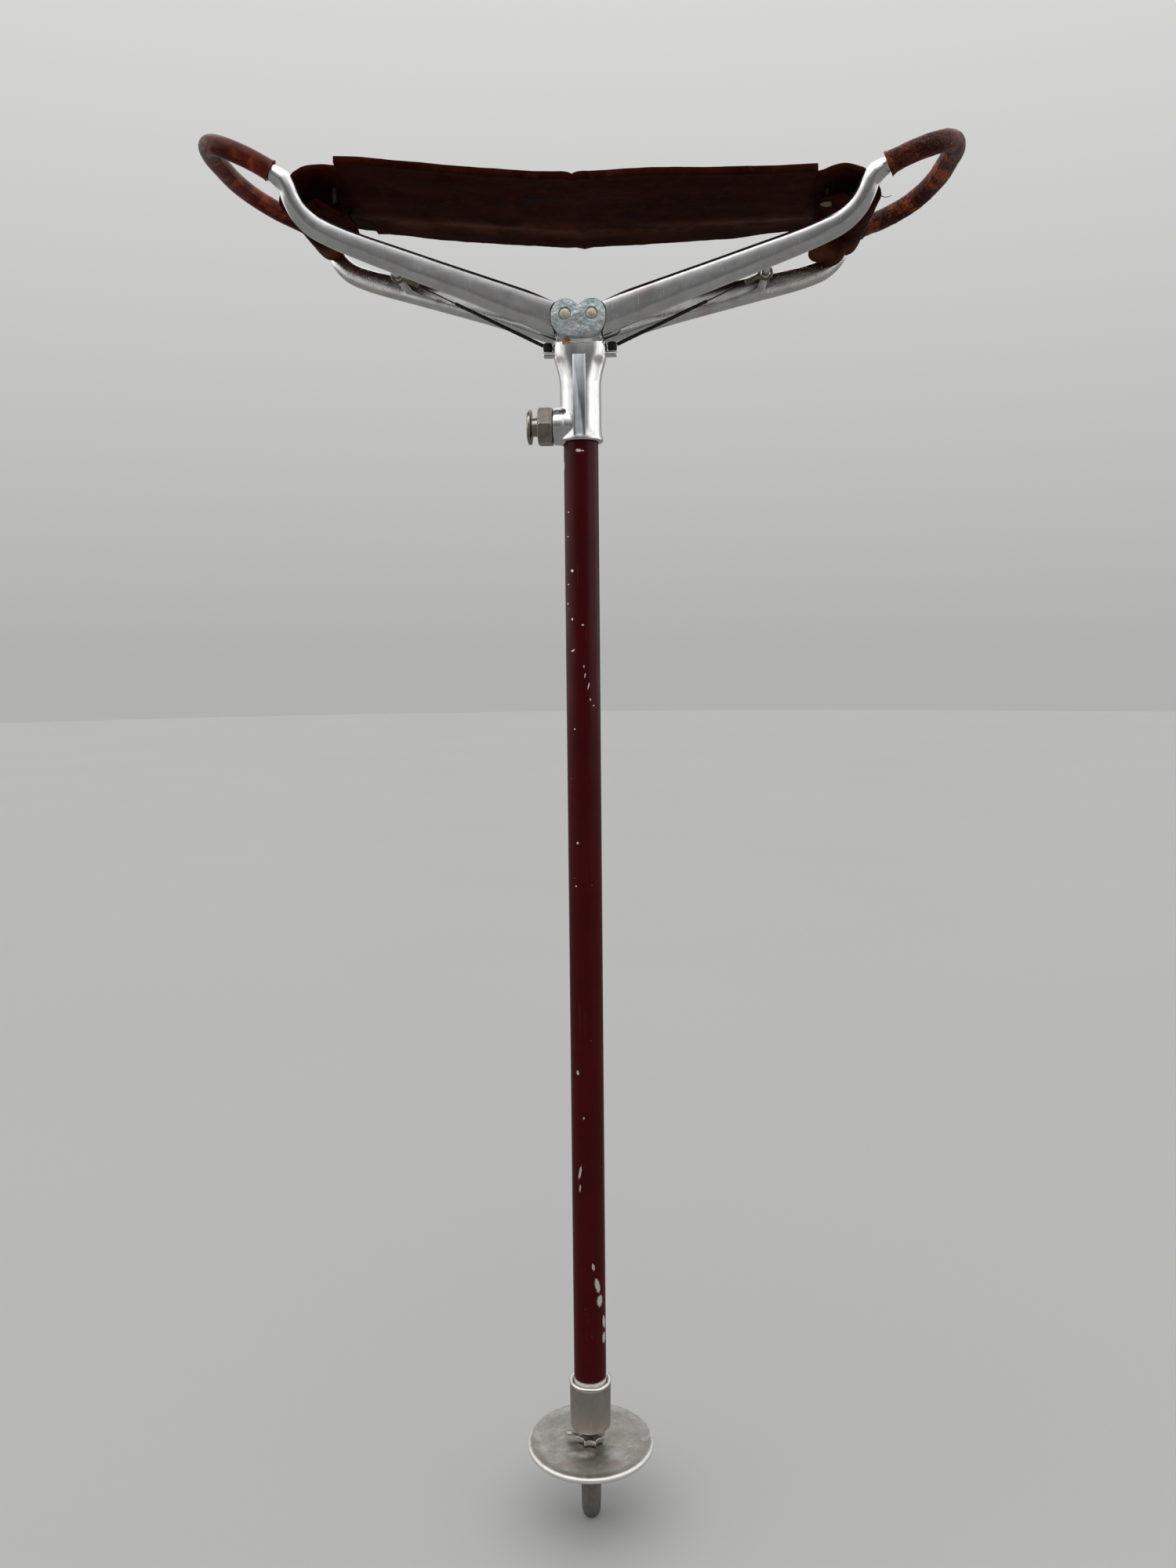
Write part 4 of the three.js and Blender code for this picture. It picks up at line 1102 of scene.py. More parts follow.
# (z, half width, half depth, exponent)
SHOULDER = [(716, 12.9, 12.9, 2), (719, 13.05, 13.0, 2), (722, 13.3, 13.1, 2),
            (727, 14.1, 13.2, 2.1), (732, 15.4, 13.3, 2.2), (737, 16.8, 13.5, 2.4),
            (742, 17.3, 13.7, 2.5), (745, 17.0, 13.7, 2.5), (747.2, 16.1, 13.65, 2.5),
            (748.4, 15.2, 13.6, 2.5)]
# (radius, x)
BOSS = [(0, -17.55), (10.9, -17.55), (11.4, -17.35), (11.6, -16.9), (11.62, -14), (12.1, -11.5),
        (13.0, -9.0), (12.5, -5), (11, 0), (0, 0)]
# lower right edge of the heart, (x, z)
HEART_LOWER = [(15.5, 751.4), (14.6, 750.2), (13.4, 749.1), (12.0, 748.2), (10.1, 747.5),
               (8.0, 747.0), (6, 746.75), (4.0, 746.6), (2, 746.52)]


def pivot_arc(radius, degrees):
    return [(PIVOT_X + radius * math.cos(math.radians(a)),
             PIVOT_Z + radius * math.sin(math.radians(a))) for a in degrees]


def heart_lobe(grow=0.0):
    """right-hand lobe of the heart, from the cleft round to below the pivot"""
    flank = [(17.22, 757.4), (17.0, 756.0), (16.7, 754.4), (16.2, 752.8)]
    return (pivot_arc(LOBE_R + grow, np.arange(128, -8.01, -3.4))
            + [(x + grow, z) for x, z in flank])


def pin_hole(radius, segments, sign):
    return rod(radius, -30, 30, segments, axis="y", at=(sign * PIVOT_X, 0, PIVOT_Z))


def head():
    rows = [((0, 0, z), (0, 1, 0), (1, 0, 0), half_y * 2, half_x * 2, exponent)
            for z, half_x, half_y, exponent in spline(SHOULDER, 40)]
    ob = union(revolve("head", BARREL, 96), loft("shoulder", rows, 64),
               revolve("boss", BOSS, 72, axis="x", at=PLUNGER_AT),
               box("web", -14.3, 14.3, -12.6, 12.6, 745.5, 751.9))
    melt(ob, size=0.42, smoothing=22)
    union(ob, bevel(box("strip", -4.0, 4.0, -13.85, 13.85, 686.8, 736.5), 0.25))
    cut(ob, rod(11.5, 678, 749, segments=96))
    cut(ob, rod(7.4, -19, -8, axis="x", at=PLUNGER_AT))
    for s in (-1, 1):                   # lugs under the stay beads
        lug = box("lug", min(s * 14, s * 23.2), max(s * 14, s * 23.2), -3.3, 3.3, 737.6, 739.8)
        union(ob, bevel(lug, 0.5, 3))
    for s in (-1, 1):
        cut(ob, pin_hole(3.9, 40, s))
    place(clean(ob), HEAD_METAL, "stick", "head_casting", sharp=36)


def head_cheek(sign, end):
    """heart-shaped plate with a rounded outer edge"""
    right = heart_lobe() + HEART_LOWER
    outline = [(0, 765.4)] + right + [(0, 746.5)] + [(-x, z) for x, z in reversed(right)]
    layers = [(CHEEK_IN, 0)]            # (y, inset)
    for i in range(6):
        angle = math.pi / 2 * i / 5
        layers.append((CHEEK_OUT - CHEEK_ROUND * (1 - math.sin(angle)),
                       CHEEK_ROUND * (1 - math.cos(angle))))
    if sign < 0:
        layers.reverse()
    verts = [(x, sign * y, z) for y, depth in layers for x, z in inset(outline, depth)]
    rows, count = len(layers), len(outline)
    cheek = new_obj("head_cheek_" + end, verts, ring_faces(rows, count) + cap_faces(rows, count))
    for s in (-1, 1):
        cut(cheek, pin_hole(3.85, 48, s))
    place(clean(cheek, 0.001), HEART_METAL, "stick", sharp=40)


def head_depth(x):
    """how far the head stands out in front and behind, just under the heart"""
    return 13.70 * max(1 - abs(x / 17.25) ** 2.5, 0.05) ** 0.4


def head_lip(sign, end):
    """wavy lip under the face of the heart"""
    path = [(x, sign * (head_depth(x) + 0.12),
             743.6 + 0.35 * math.sin(x * 0.9) - 0.9 * smoothstep(6, 9.5, abs(x))
             + 1.2 * smoothstep(8.5, 11, x * -sign)) for x in np.linspace(-10.5, 10.5, 60)]

    def radius(share, _):
        return 0.46 * math.sin(math.pi * min(max(share, 0.02), 0.98)) ** 0.4

    place(sweep("head_lip_" + end, path, radius, 12), HEAD_METAL, "stick")


def grease_dab():
    """lumpy dab on the front of the head, left of the middle"""
    verts, rings, sides = [], 10, 36
    for i in range(rings + 1):
        q = i / rings
        for j in range(sides):
            angle = 2 * math.pi * j / sides
            c, s = math.cos(angle), math.sin(angle)
            uneven = 1 + 0.35 * wobble(c * 1.6, s * 1.6, 1, 4)
            x = -8.0 + 2.9 * q * c * uneven
            z = 744.6 + 2.3 * q * s * uneven
            dome = 0.62 * math.sqrt(max(0, 1 - q * q)) * (1 + 0.4 * wobble(x, z, 0, 9))
            verts.append((x, -head_depth(x) - dome + 0.25 * q * q, z))
    verts += [(x, y + 0.9, z) for x, y, z in verts[-sides:]]
    faces = ring_faces(rings + 2, sides, flip=True)
    back = (rings + 1) * sides
    faces.append(tuple(range(back, back + sides)))
    dab = clean(new_obj("grease_dab", verts, faces), 0.0005)
    place(dab, (old_grease("old_grease"), "brass"), "stick", sharp=60)


head()
for s, end in ENDS:
    head_cheek(s, end)
for s, end in ENDS:
    head_lip(s, end)
grease_dab()

# half outline of the hinge pin from its middle to its rear end, (radius, y)
PIN_HALF = [(3.65, 15.5), (3.62, 16.5), (3.3, 17.02), (2.7, 17.32), (1.6, 17.5), (0, 17.55)]
# (radius, y)
BEAD_PROFILE = [(0, -3.25), (1.5, -3.2), (2.3, -2.9), (2.75, -2.2), (2.98, -1.2), (3.0, 0),
                (2.98, 1.2), (2.75, 2.2), (2.2, 2.95), (1.4, 3.25), (0, 3.3)]
BEAD_R = 3


def hinge_pin(side):
    profile = [(r, -y) for r, y in reversed(PIN_HALF)] + PIN_HALF
    pin = revolve("hinge_pin_" + side, profile, 48, axis="y", at=(SIGN[side] * PIVOT_X, 0, PIVOT_Z))
    for v in pin.data.vertices:
        if abs(v.co.y) > 16.9:
            v.co.y += 0.10 * wobble(v.co.x * 0.8, 0, v.co.z * 0.8, 6)
    place(pin, PIN_BRASS, "stick", "pivot_pin_" + side, sharp=50)


def cord_bead(side):
    """round bead squared off to a block, with a ring under it"""
    bead_x, bead_z = SIGN[side] * BEAD[0], BEAD[1]
    bead = revolve("bead", BEAD_PROFILE, 40, axis="y", at=(bead_x, 0, bead_z))
    for v in bead.data.vertices:
        dx, dz = (v.co.x - bead_x) / BEAD_R, (v.co.z - bead_z) / BEAD_R
        r = math.hypot(dx, dz)
        if r > 1e-3:
            square = (abs(dx / r) ** 4 + abs(dz / r) ** 4) ** -0.25
            grow = 1 + (square - 1) * 0.75
            v.co.x = bead_x + dx * BEAD_R * grow
            v.co.z = bead_z + dz * BEAD_R * grow * 1.04
    place(bead, CORD, "stick", "cord_bead_" + side, sharp=60)
    path = [(bead_x + BEAD_R * math.cos(a), 2.64 * math.sin(a), 740.3)
            for a in np.linspace(0, 2 * math.pi, 41)[:-1]]
    place(sweep("cord_washer_" + side, path, 0.42, 10, closed=True), HEAD_METAL, "stick")


for side in ("left", "right"):
    hinge_pin(side)
    cord_bead(side)

# ------------------------------------------------------------------ spring plunger
# it lies along X on the left of the head; outlines of (radius, x)
HEX_R = 12.7
HEX_CONE = [(0, -17.85), (11.6, -17.85), (12.9, -18.8), (12.9, -26.0), (11.3, -27.15),
            (0, -27.15)]
HEX_BORE = [(0, -10), (5.2, -10), (5.2, -25.2), (3.4, -25.3), (3.4, -29), (0, -29)]
PLUNGER_ROD = [(0, -8.8), (2.2, -8.8), (2.8, -9.1), (3.0, -9.7), (3.0, -12.6), (4.5, -12.6),
               (4.7, -12.8), (4.7, -14.1), (4.5, -14.3), (3.0, -14.3), (3.0, -33.0), (0, -33.0)]
KNOB = [(0, -33.3), (3.35, -33.3), (3.35, -27.5), (3.6, -27.4), (5.9, -27.4), (6.2, -27.6),
        (6.25, -28.3), (6.0, -29.2), (5.95, -30.2), (6.2, -31.1), (6.8, -31.5), (9.9, -31.5),
        (10.6, -31.65), (11.0, -32.1), (11.05, -32.9), (10.85, -33.5), (10.3, -33.9),
        (9.0, -34.2), (6.5, -34.5), (3.0, -34.66), (0, -34.7)]
COIL_R, COIL_TURNS, COIL_START, COIL_LENGTH = 4.1, 5, -15.2, 9.4


def plunger():
    # hexagon with corners to front and rear and flats above and below
    verts = [(x, HEX_R * math.cos(math.pi / 3 * i), PLUNGER_Z + HEX_R * math.sin(math.pi / 3 * i))
             for x in (-17.9, -27.1) for i in range(6)]
    body = new_obj("plunger_body", verts, cap_faces(2, 6) + ring_faces(2, 6))
    boolean(body, revolve("cone", HEX_CONE, 72, axis="x", at=PLUNGER_AT), "INTERSECT")
    bevel(body, 0.22, 2, 25)
    union(body, rod(7.05, -11.9, -20, axis="x", at=PLUNGER_AT))
    cut(body, revolve("hex_bore", HEX_BORE, 40, axis="x", at=PLUNGER_AT))
    place(clean(body), HEX_STEEL, "stick", "plunger_housing", sharp=32)
    place(revolve("plunger_rod", PLUNGER_ROD, 40, axis="x", at=PLUNGER_AT), KNOB_STEEL, "plunger",
          "plunger_pin", sharp=35)
    place(revolve("pull_knob", KNOB, 72, axis="x", at=PLUNGER_AT), KNOB_STEEL, "plunger",
          "plunger_knob")
    turns = 2 * math.pi * COIL_TURNS
    coil = [(COIL_START - COIL_LENGTH * t, COIL_R * math.cos(t * turns),
             PLUNGER_Z + COIL_R * math.sin(t * turns)) for t in np.linspace(0, 1, 220)]
    spring = place(sweep("coil_spring", coil, 0.42, 12), SPRING_STEEL, "stick", "plunger_spring",
                   sharp=60)
    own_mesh(spring)


plunger()

# ------------------------------------------------------------------ wings
# rear arm from the hinge out to the loop: x, z, y, height, thickness
ARM = [
    (4.0, 755.1, 11.7, 22.3, 10.2), (14.0, 758.4, 12.0, 21.6, 10.0),
    (30.0, 763.7, 15.8, 20.0, 10.0), (60.0, 773.5, 22.9, 17.8, 9.6),
    (85.0, 781.3, 29.0, 16.5, 9.4), (110.0, 789.1, 35.4, 15.3, 9.4),
    (130.0, 795.3, 41.0, 14.2, 9.6), (146.0, 801.0, 45.4, 13.6, 10.0),
    (157.0, 806.3, 48.2, 13.0, 10.2), (164.5, 813.3, 50.2, 12.2, 10.4),
    (168.6, 820.6, 51.6, 11.6, 10.6), (170.8, 826.8, 52.4, 11.4, 11.0),
    (173.4, 830.9, 52.9, 11.5, 11.1), (175.6, 832.8, 53.2, 11.0, 10.7),
    (177.4, 834.0, 53.5, 10.3, 10.1), (179.2, 835.0, 53.85, 9.6, 9.5),
]
# front half of each handle loop, ending at the outermost point: x, y, z
LOOPS = {
    "right": [(172.5, -52.9, 831.2), (178.0, -54.2, 834.4), (194.0, -58.5, 841.2),
              (209.0, -54.0, 848.0), (218.5, -42.5, 852.8), (224.0, -24.0, 856.2),
              (225.6, 0.0, 858.0)],
    "left": [(172.5, -52.9, 831.2), (178.0, -53.6, 835.0), (193.0, -56.6, 843.0),
             (208.5, -54.8, 850.2), (219.8, -45.0, 855.4), (225.8, -25.0, 857.6),
             (227.0, 0.0, 858.0)],
}
WING_GAP = 0.35         # clearance round the heart


def loop_points(side, count):
    half = LOOPS[side]
    return resample(spline(half + [(x, -y, z) for x, y, z in reversed(half[:-1])], 900), count)


def arm(sign):
    centres = [(x, sign * y, z) for x, z, y, _, _ in ARM]
    sizes = [station[3:] for station in ARM]
    stations = []
    for i in range(110):
        t = i / 109
        centre = catmull(centres, t)
        along = catmull(centres, min(t + 1e-3, 1)) - catmull(centres, max(t - 1e-3, 0))
        along /= np.linalg.norm(along)
        flat = np.array([along[0], 0, along[2]])
        flat /= np.linalg.norm(flat)
        up = np.array([-flat[2], 0, flat[0]])
        across = np.cross(along, up)
        across /= np.linalg.norm(across)
        height, thickness = catmull(sizes, t)
        height *= 1 + 0.010 * wobble(centre[0] * 0.05, sign * 3.0, centre[2] * 0.05, 11)
        exponent = 3.6 - 1.6 * smoothstep(0.1, 0.85, t)
        stations.append((centre, up, across, height, thickness, exponent))
    return loft("arm", stations, 56)


def knuckle():
    """block between the arms at the hinge"""
    def top(x):
        return 768.7 + 0.287 * (x - 14.15)

    def bottom(x):
        return 748.8 + 0.37 * (x - 15.9)

    outline = [(6, bottom(15.9)), (15.9, bottom(15.9)), (24, bottom(24)), (26, bottom(26) + 2),
               (26, top(26) - 2), (24.5, top(24.5)), (6, top(6))]
    return bevel(prism("knuckle", outline, -15.5, 15.5), 1.2, 3, 50)


def cross_bar(radius, half, segments, place_xz):
    return rod(radius, -half, half, segments, axis="y", at=(place_xz[0], 0, place_xz[1]))


def wing(side):
    body = arm(-1)
    union(body, arm(1))
    union(body, knuckle())
    # eased off on top, where the strap comes down when folded
    cut(body, prism("ease", [(2, 762), (15, 767.5), (26, 772.15), (30, 773.6), (30, 800),
                             (2, 800)], -30, 30))
    tilt_mesh(body, side)
    room = heart_lobe(WING_GAP) + [(16.1, 751.6), (15.4, 750.0), (15.4, 735), (-20, 735),
                                   (-20, 790), (0, 790)]
    cut(body, prism("room", room, -30, 30))
    cut(body, prism("notch", [(14, 735), (31, 735), (31, 758.0), (14, 751.9)], -3.2, 3.2))
    tongue = pivot_arc(7.95, range(100, 291, 5)) + [(17.5, 755.0), (22.5, 757.5), (22.5, 769.5)]
    parts = [prism("tongue", tongue, -11.7, 11.7), cross_bar(2.5, 36, 40, STRUT),
             cross_bar(4.5, 51, 56, BAR), sweep("core", loop_points(side, 150)[3:-3], 4.5, 32)]
    union(body, *[tilt_mesh(part, side) for part in parts])
    cut(body, pin_hole(3.95, 40, 1))
    body.name = body.data.name = "wing_casting_" + side
    place(sided(clean(body), side), WING_METAL, "wing_" + side, "wing_frame_" + side, sharp=34)


# ------------------------------------------------------------------ handle sleeves
GRIP_R = {"right": 6.15, "left": 6.0}
GRIP_BORE = 4.62
LOOP_STATIONS, BARE_STATIONS = 420, 19      # stations round a loop, and left bare at each end
# inner side of the turned-in ends: change of radius (None is the bore) and distance inwards
GRIP_LIP = ((-0.5, -0.25), (-1.0, -0.05), (None, 0.6), (None, 3.0))


def sleeve_radius(side, run, from_end, angle):
    """outer radius at a distance along the sleeve and an angle round it"""
    c, s = math.cos(angle), math.sin(angle)
    r = GRIP_R[side]
    if side == "right":
        r += 0.28 * wobble(run * 0.055, c * 1.2, s * 1.2, 1.0)
        r += 0.20 * wobble(run * 0.30, c * 2.6, s * 2.6, 2.0)
        r += 0.15 * abs(wobble(run * 0.62, c * 4.5, s * 4.5, 3.0))
        r += 1.25 * math.exp(-from_end / 2.2) * (1 + 0.5 * wobble(c * 2, s * 2, run * 0.001, 5.0))
    else:
        r += 0.10 * wobble(run * 0.05, c, s, 1.0) + 0.04 * wobble(run * 0.4, c * 3, s * 3, 2.0)
        r += 0.55 * math.exp(-from_end / 1.1)
        r += 1.2 * math.exp(-from_end / 2.0) * bell(angle, 4.3, 0.32)
    # butt seam along the sleeve: a groove with a low ridge each side
    seam = (angle - 4.6 + math.pi) % (2 * math.pi) - math.pi
    return r - 0.34 * bell(seam, 0, 0.050) + 0.16 * bell(abs(seam), 0.17, 0.085)


def sleeve(side):
    points = loop_points(side, LOOP_STATIONS)[BARE_STATIONS:LOOP_STATIONS - BARE_STATIONS]
    path, frames = path_frames(points)
    run = run_lengths(path)
    count, sides = len(path), 72
    angles = [2 * math.pi * j / sides for j in range(sides)]
    verts = []

    def radius(i, angle):
        return sleeve_radius(side, run[i], min(run[i], run[-1] - run[i]), angle)

    def add(i, angle, r, shift=0.0):
        tangent, a, b = frames[i]
        verts.append(path[i] + (a * math.cos(angle) + b * math.sin(angle)) * r + tangent * shift)

    ragged = 0.7 if side == "right" else 0.3
    for i in range(count):
        for angle in angles:
            shift = 0.0
            if i in (0, count - 1):
                shift = ragged * wobble(math.cos(angle) * 2.4, math.sin(angle) * 2.4, i * 0.01, 7.0)
                shift *= -1 if i == 0 else 1
            add(i, angle, radius(i, angle), shift)
    faces = ring_faces(count, sides)

    def join(near, far):
        """quads between the rings that start at these two vertices"""
        for j in range(sides):
            k = (j + 1) % sides
            faces.append((near + j, near + k, far + k, far + j))

    inner_ends = []
    for i, inwards in ((0, 1), (count - 1, -1)):
        ring = i * sides
        for change, distance in GRIP_LIP:
            start = len(verts)
            for angle in angles:
                r = GRIP_BORE if change is None else radius(i, angle) + change
                add(i, angle, r, distance * inwards)
            join(ring, start)
            ring = start
        inner_ends.append(ring)
    # the inner wall joins the two ends along the loop
    ring = inner_ends[0]
    for i in range(12, count - 12, 6):
        start = len(verts)
        for angle in angles:
            add(i, angle, GRIP_BORE)
        join(ring, start)
        ring = start
    join(ring, inner_ends[1])
    ob = tilt_mesh(new_obj("grip_leather_" + side, verts, faces), side)
    place(sided(ob, side), GRIP[side], "wing_" + side, "handle_wrap_" + side, sharp=60)


# ------------------------------------------------------------------ stay cords
def sleeve_thickness(share, i):
    """rubber sleeve, thinning along its length and pinched at the end"""
    return 1.14 - 0.10 * share + 0.05 * math.sin(i * 1.1) - 25 * max(0, share - 0.985)


def stay(side):
    """rubber-sleeved cord from the bead up to an eye round the strut"""
    eye_x, eye_z = tilted(STRUT, side)
    start = np.array([BEAD[0], 0, BEAD[1]])
    along = np.array([eye_x, 0, eye_z]) - start
    length = np.linalg.norm(along)
    along /= length
    up = (-along[2], 0, along[0])
    cord = sweep("stay_cord_" + side, [start + along * q for q in np.linspace(3.4, 66, 90)],
                 sleeve_thickness, 20)
    wire = sweep("stay_cord_end_" + side, [start + along * q for q in np.linspace(40, 92.4, 40)],
                 lambda share, i: 0.42 + 0.03 * math.sin(i), 14)
    profile = [(0, 91.6), (0.9, 91.6)]
    for i in range(9):                  # ribs of the fitting
        q = 92 + i * 0.78
        profile += [(1.25, q), (1.65, q + 0.2), (1.65, q + 0.42), (1.25, q + 0.6)]
    profile += [(1.5, 99.4), (1.55, length - 3.6), (0, length - 3.6)]
    eye = revolve("stay_eye_fitting_" + side, profile, 28)
    eye.data.transform(Matrix(((0, up[0], along[0], start[0]), (1, 0, 0, 0),
                               (0, up[2], along[2], start[2]), (0, 0, 0, 1))))
    ring = [(eye_x + 3.9 * math.cos(a), 0.0, eye_z + 3.9 * math.sin(a))
            for a in np.linspace(0, 2 * math.pi, 61)[:-1]]
    union(eye, sweep("ring", ring, 0.9, 18, closed=True))
    place(sided(cord, side), CORD, "stay_" + side, "stay_sleeve_" + side, sharp=60)
    place(sided(wire, side), CORD, "stay_end_" + side, "stay_wire_" + side, sharp=60)
    place(clean(sided(eye, side)), EYE_BRASS, "stay_end_" + side, "stay_eye_" + side, sharp=45)


for build in (wing, sleeve, stay):
    for side in SIGN:
        build(side)

# ------------------------------------------------------------------ sling seat
# mid-line of the strap, (x, z): from the crease out to the bar, then over it and back under
MAIN = [(0.04, 825.3), (2.0, 825.75), (8, 826.6), (30, 828.1), (57, 829.6), (80, 830.9),
        (100, 832.0), (120, 833.1), (135, 833.9), (139.9, 834.1)]
TAB = [(140.3, 834.1), (146, 834.7), (152, 835.3), (158, 835.2), (163, 834.2), (168, 832.6),
       (172.6, 830.2), (175.9, 826.6), (177.0, 822.2), (175.3, 818.2), (171.9, 815.9),
       (168, 815.5), (165.2, 816.7), (161.6, 819.6), (157.2, 823.2)]
HALF_SEAT = 64          # nominal half width of the strap
SAG = 13.5              # drop of the slack rear corner on the right
# front, rear, crest: rise towards the bar; taper: amount, start x, end x at the rear edge;
# pucker: height, x, x width, y, slant; cuts: shortening of the flap's front and rear corners;
# pulls: how far those corners move towards the middle; seeds: of the ripples and crease lumps
SEAT = {
    "right": dict(front=-3.4, rear=1.2, crest=0.1, taper=(3.5, 90, 139),
                  pucker=(0.7, 22, 16, 38, 0.25), cuts=(6.4, -2.5), pulls=(0.0, 0.5),
                  seeds=(37, 39)),
    "left": dict(front=4.2, rear=1.4, crest=2.9, taper=(4.0, 60, 135),
                 pucker=(0.5, 16, 14, 44, 0), cuts=(-2.4, 2.0), pulls=(7.0, 1.6),
                 seeds=(31, 36)),
}


def sampled(points, step):
    fine = spline(points, 400)
    return resample(fine, int(run_lengths(fine)[-1] / step) + 1)


main_line = sampled(MAIN, 2.0)
MAIN_COUNT = len(main_line)
LINE = np.concatenate([main_line, sampled(TAB, 1.3)])
LINE_COUNT = len(LINE)
LINE_TANGENTS = np.gradient(LINE, axis=0)
LINE_TANGENTS /= np.linalg.norm(LINE_TANGENTS, axis=1)[:, None]
LINE_RUN = run_lengths(LINE)
# distance along the line to its last point beyond x = 168, under the bar
RUN_UNDER = LINE_RUN[max(i for i in range(LINE_COUNT) if LINE[i][0] > 168.0)]
FLAP_COUNT, FLAP_LENGTH = 12, 17.0
ACROSS, EDGE = 56, 5    # steps across the strap, and points round each edge


def flap_line(q):
    """mid-line of the strap's free end, inwards from the bar"""
    return np.array((157.2 - 11.0 * q - 0.2 * q * q, 823.2 + 7.2 * q - 3.2 * q * q))


def hung(point, side):
    """moves a point of the strap to follow the bar"""
    bar_x, bar_z = BAR_AT[side]
    t = (point[0] - 0.6) / (BAR[0] - 0.6)
    return point[0] + t * (bar_x - BAR[0]), point[1], point[2] + t * (bar_z - BAR[1])


def strap_edges(i, side):
    """widths to the front and rear edge at station i of the line"""
    x, z = LINE[i]
    if i < MAIN_COUNT:
        amount, start, end = SEAT[side]["taper"]
        rear = 63.6 - 4.5 * smoothstep(95, 139, x) - amount * smoothstep(start, end, x)
        rear += 0.55 * wobble(x * 0.22, 0, 0, 21) + 0.35 * wobble(x * 0.7, 0, 0, 22)
        # small bite at the crease on the front edge
        front = 63.5 + 0.12 * wobble(x * 0.1, 0, 0, 23) - 0.9 * bell(x, 0.2, 1.3)
        return front, rear
    if z > 829.5 and x < 172:
        front = 52.0 - 1.2 * smoothstep(150, 140.3, x) + 0.3 * wobble(x * 0.3, 0, 0, 24)
        front -= 8.0 * smoothstep(833.4, 830.0, z) * smoothstep(160, 168, x)
        return front, front - 0.3 + 0.3 * wobble(x * 0.4, 0, 0, 25)
    width = 44.0 - 3.5 * smoothstep(166, 157.4, x) if z < 824 else 44.0
    return width, width


def bar_rise(y, side):
    front, rear = SEAT[side]["front"], SEAT[side]["rear"]
    return (front + rear) / 2 + (rear - front) / 2 * (y / HALF_SEAT)


def seat_rise(x, y, side):
    """height of the seat above its mid-line"""
    ripple_seed, crease_seed = SEAT[side]["seeds"]
    height, pucker_x, width, pucker_y, slant = SEAT[side]["pucker"]
    fade = smoothstep(0.5, 16, x)
    # cupping, with a long fold towards the rear
    rise = -0.45 * smoothstep(130, 90, x)
    rise -= (1.0 - 0.45 * smoothstep(40, 22, x)) * math.cos(math.pi * (y + 4) / 128)
    rise += 0.9 * bell(y, 34, 9) * (0.7 + 0.3 * smoothstep(4, 40, x))
    rise -= 0.5 * bell(y, 20, 8) * smoothstep(18, 44, x)
    # lifted a little over the arms' knuckles
    rise += 1.05 * math.exp(-(y / 21) ** 6) * smoothstep(42, 25, x)
    # ripples, lumps along the crease and a pucker near it
    rise += fade * (0.60 * wobble(x * 0.035, y * 0.05, 0, ripple_seed) - 0.22
                    + 0.16 * wobble(x * 0.12, y * 0.15, 0, 33))
    rise += 0.35 * wobble(0.0, y * 0.06, 0, 35) * (1 - fade)
    rise += 0.5 * bell(x, 5, 3.2) * (0.5 + wobble(1.0, y * 0.11, 0, crease_seed))
    rise += fade * height * bell(x, pucker_x, width) * bell(y, pucker_y - slant * x, 7)
    return rise + smoothstep(25, 135, x) * bar_rise(y, side)


def tab_point(i, y, normal, side):
    """point of the wrap round the bar"""
    x, z = LINE[i]
    point = np.array([x, y, z])
    if z > 829:
        share = smoothstep(140, 158, x)
        rise = (1 - share) * bar_rise(y, side) + share * SEAT[side]["crest"]
        point[2] += smoothstep(173.5, 160, x) * rise
    point += normal * 0.35 * wobble(x * 0.12, y * 0.11, z * 0.12, 41)
    if side == "right" and z < 824 and x < 168:
        # the rear corner has gone slack and hangs from the bar
        turn = min((LINE_RUN[i] - RUN_UNDER) / 14.5, 1) * math.pi / 2
        point[2] -= SAG * smoothstep(15, 37, y) * math.sin(turn) ** 0.95
    return point


def flap_point(q, y, half_width, side):
    """point of the free end, which has a rounded end and drooping corners"""
    cuts, pulls = SEAT[side]["cuts"], SEAT[side]["pulls"]
    front = smoothstep(-20, -38, y)
    rear = smoothstep(18, 38, y)
    short = (1 - math.sqrt(max(0, 1 - (abs(y) / half_width) ** 3.2))) * 6.0
    short += cuts[0] * front ** 2 + cuts[1] * rear ** 2
    q *= 1 - short / FLAP_LENGTH
    x, z = flap_line(q)
    z += 0.5 * wobble(x * 0.15, y * 0.10, 3.0, 43) * q
    if side == "right":
        z -= smoothstep(15, 37, y) * (SAG + 3.0 * math.sin(math.pi * 0.88 * q)) + 1.5 * front * q
    else:
        z -= 10.4 * rear * q ** 1.2 + 14.0 * front * q ** 0.9
    return x - (pulls[0] * front + pulls[1] * rear) * q, y, z


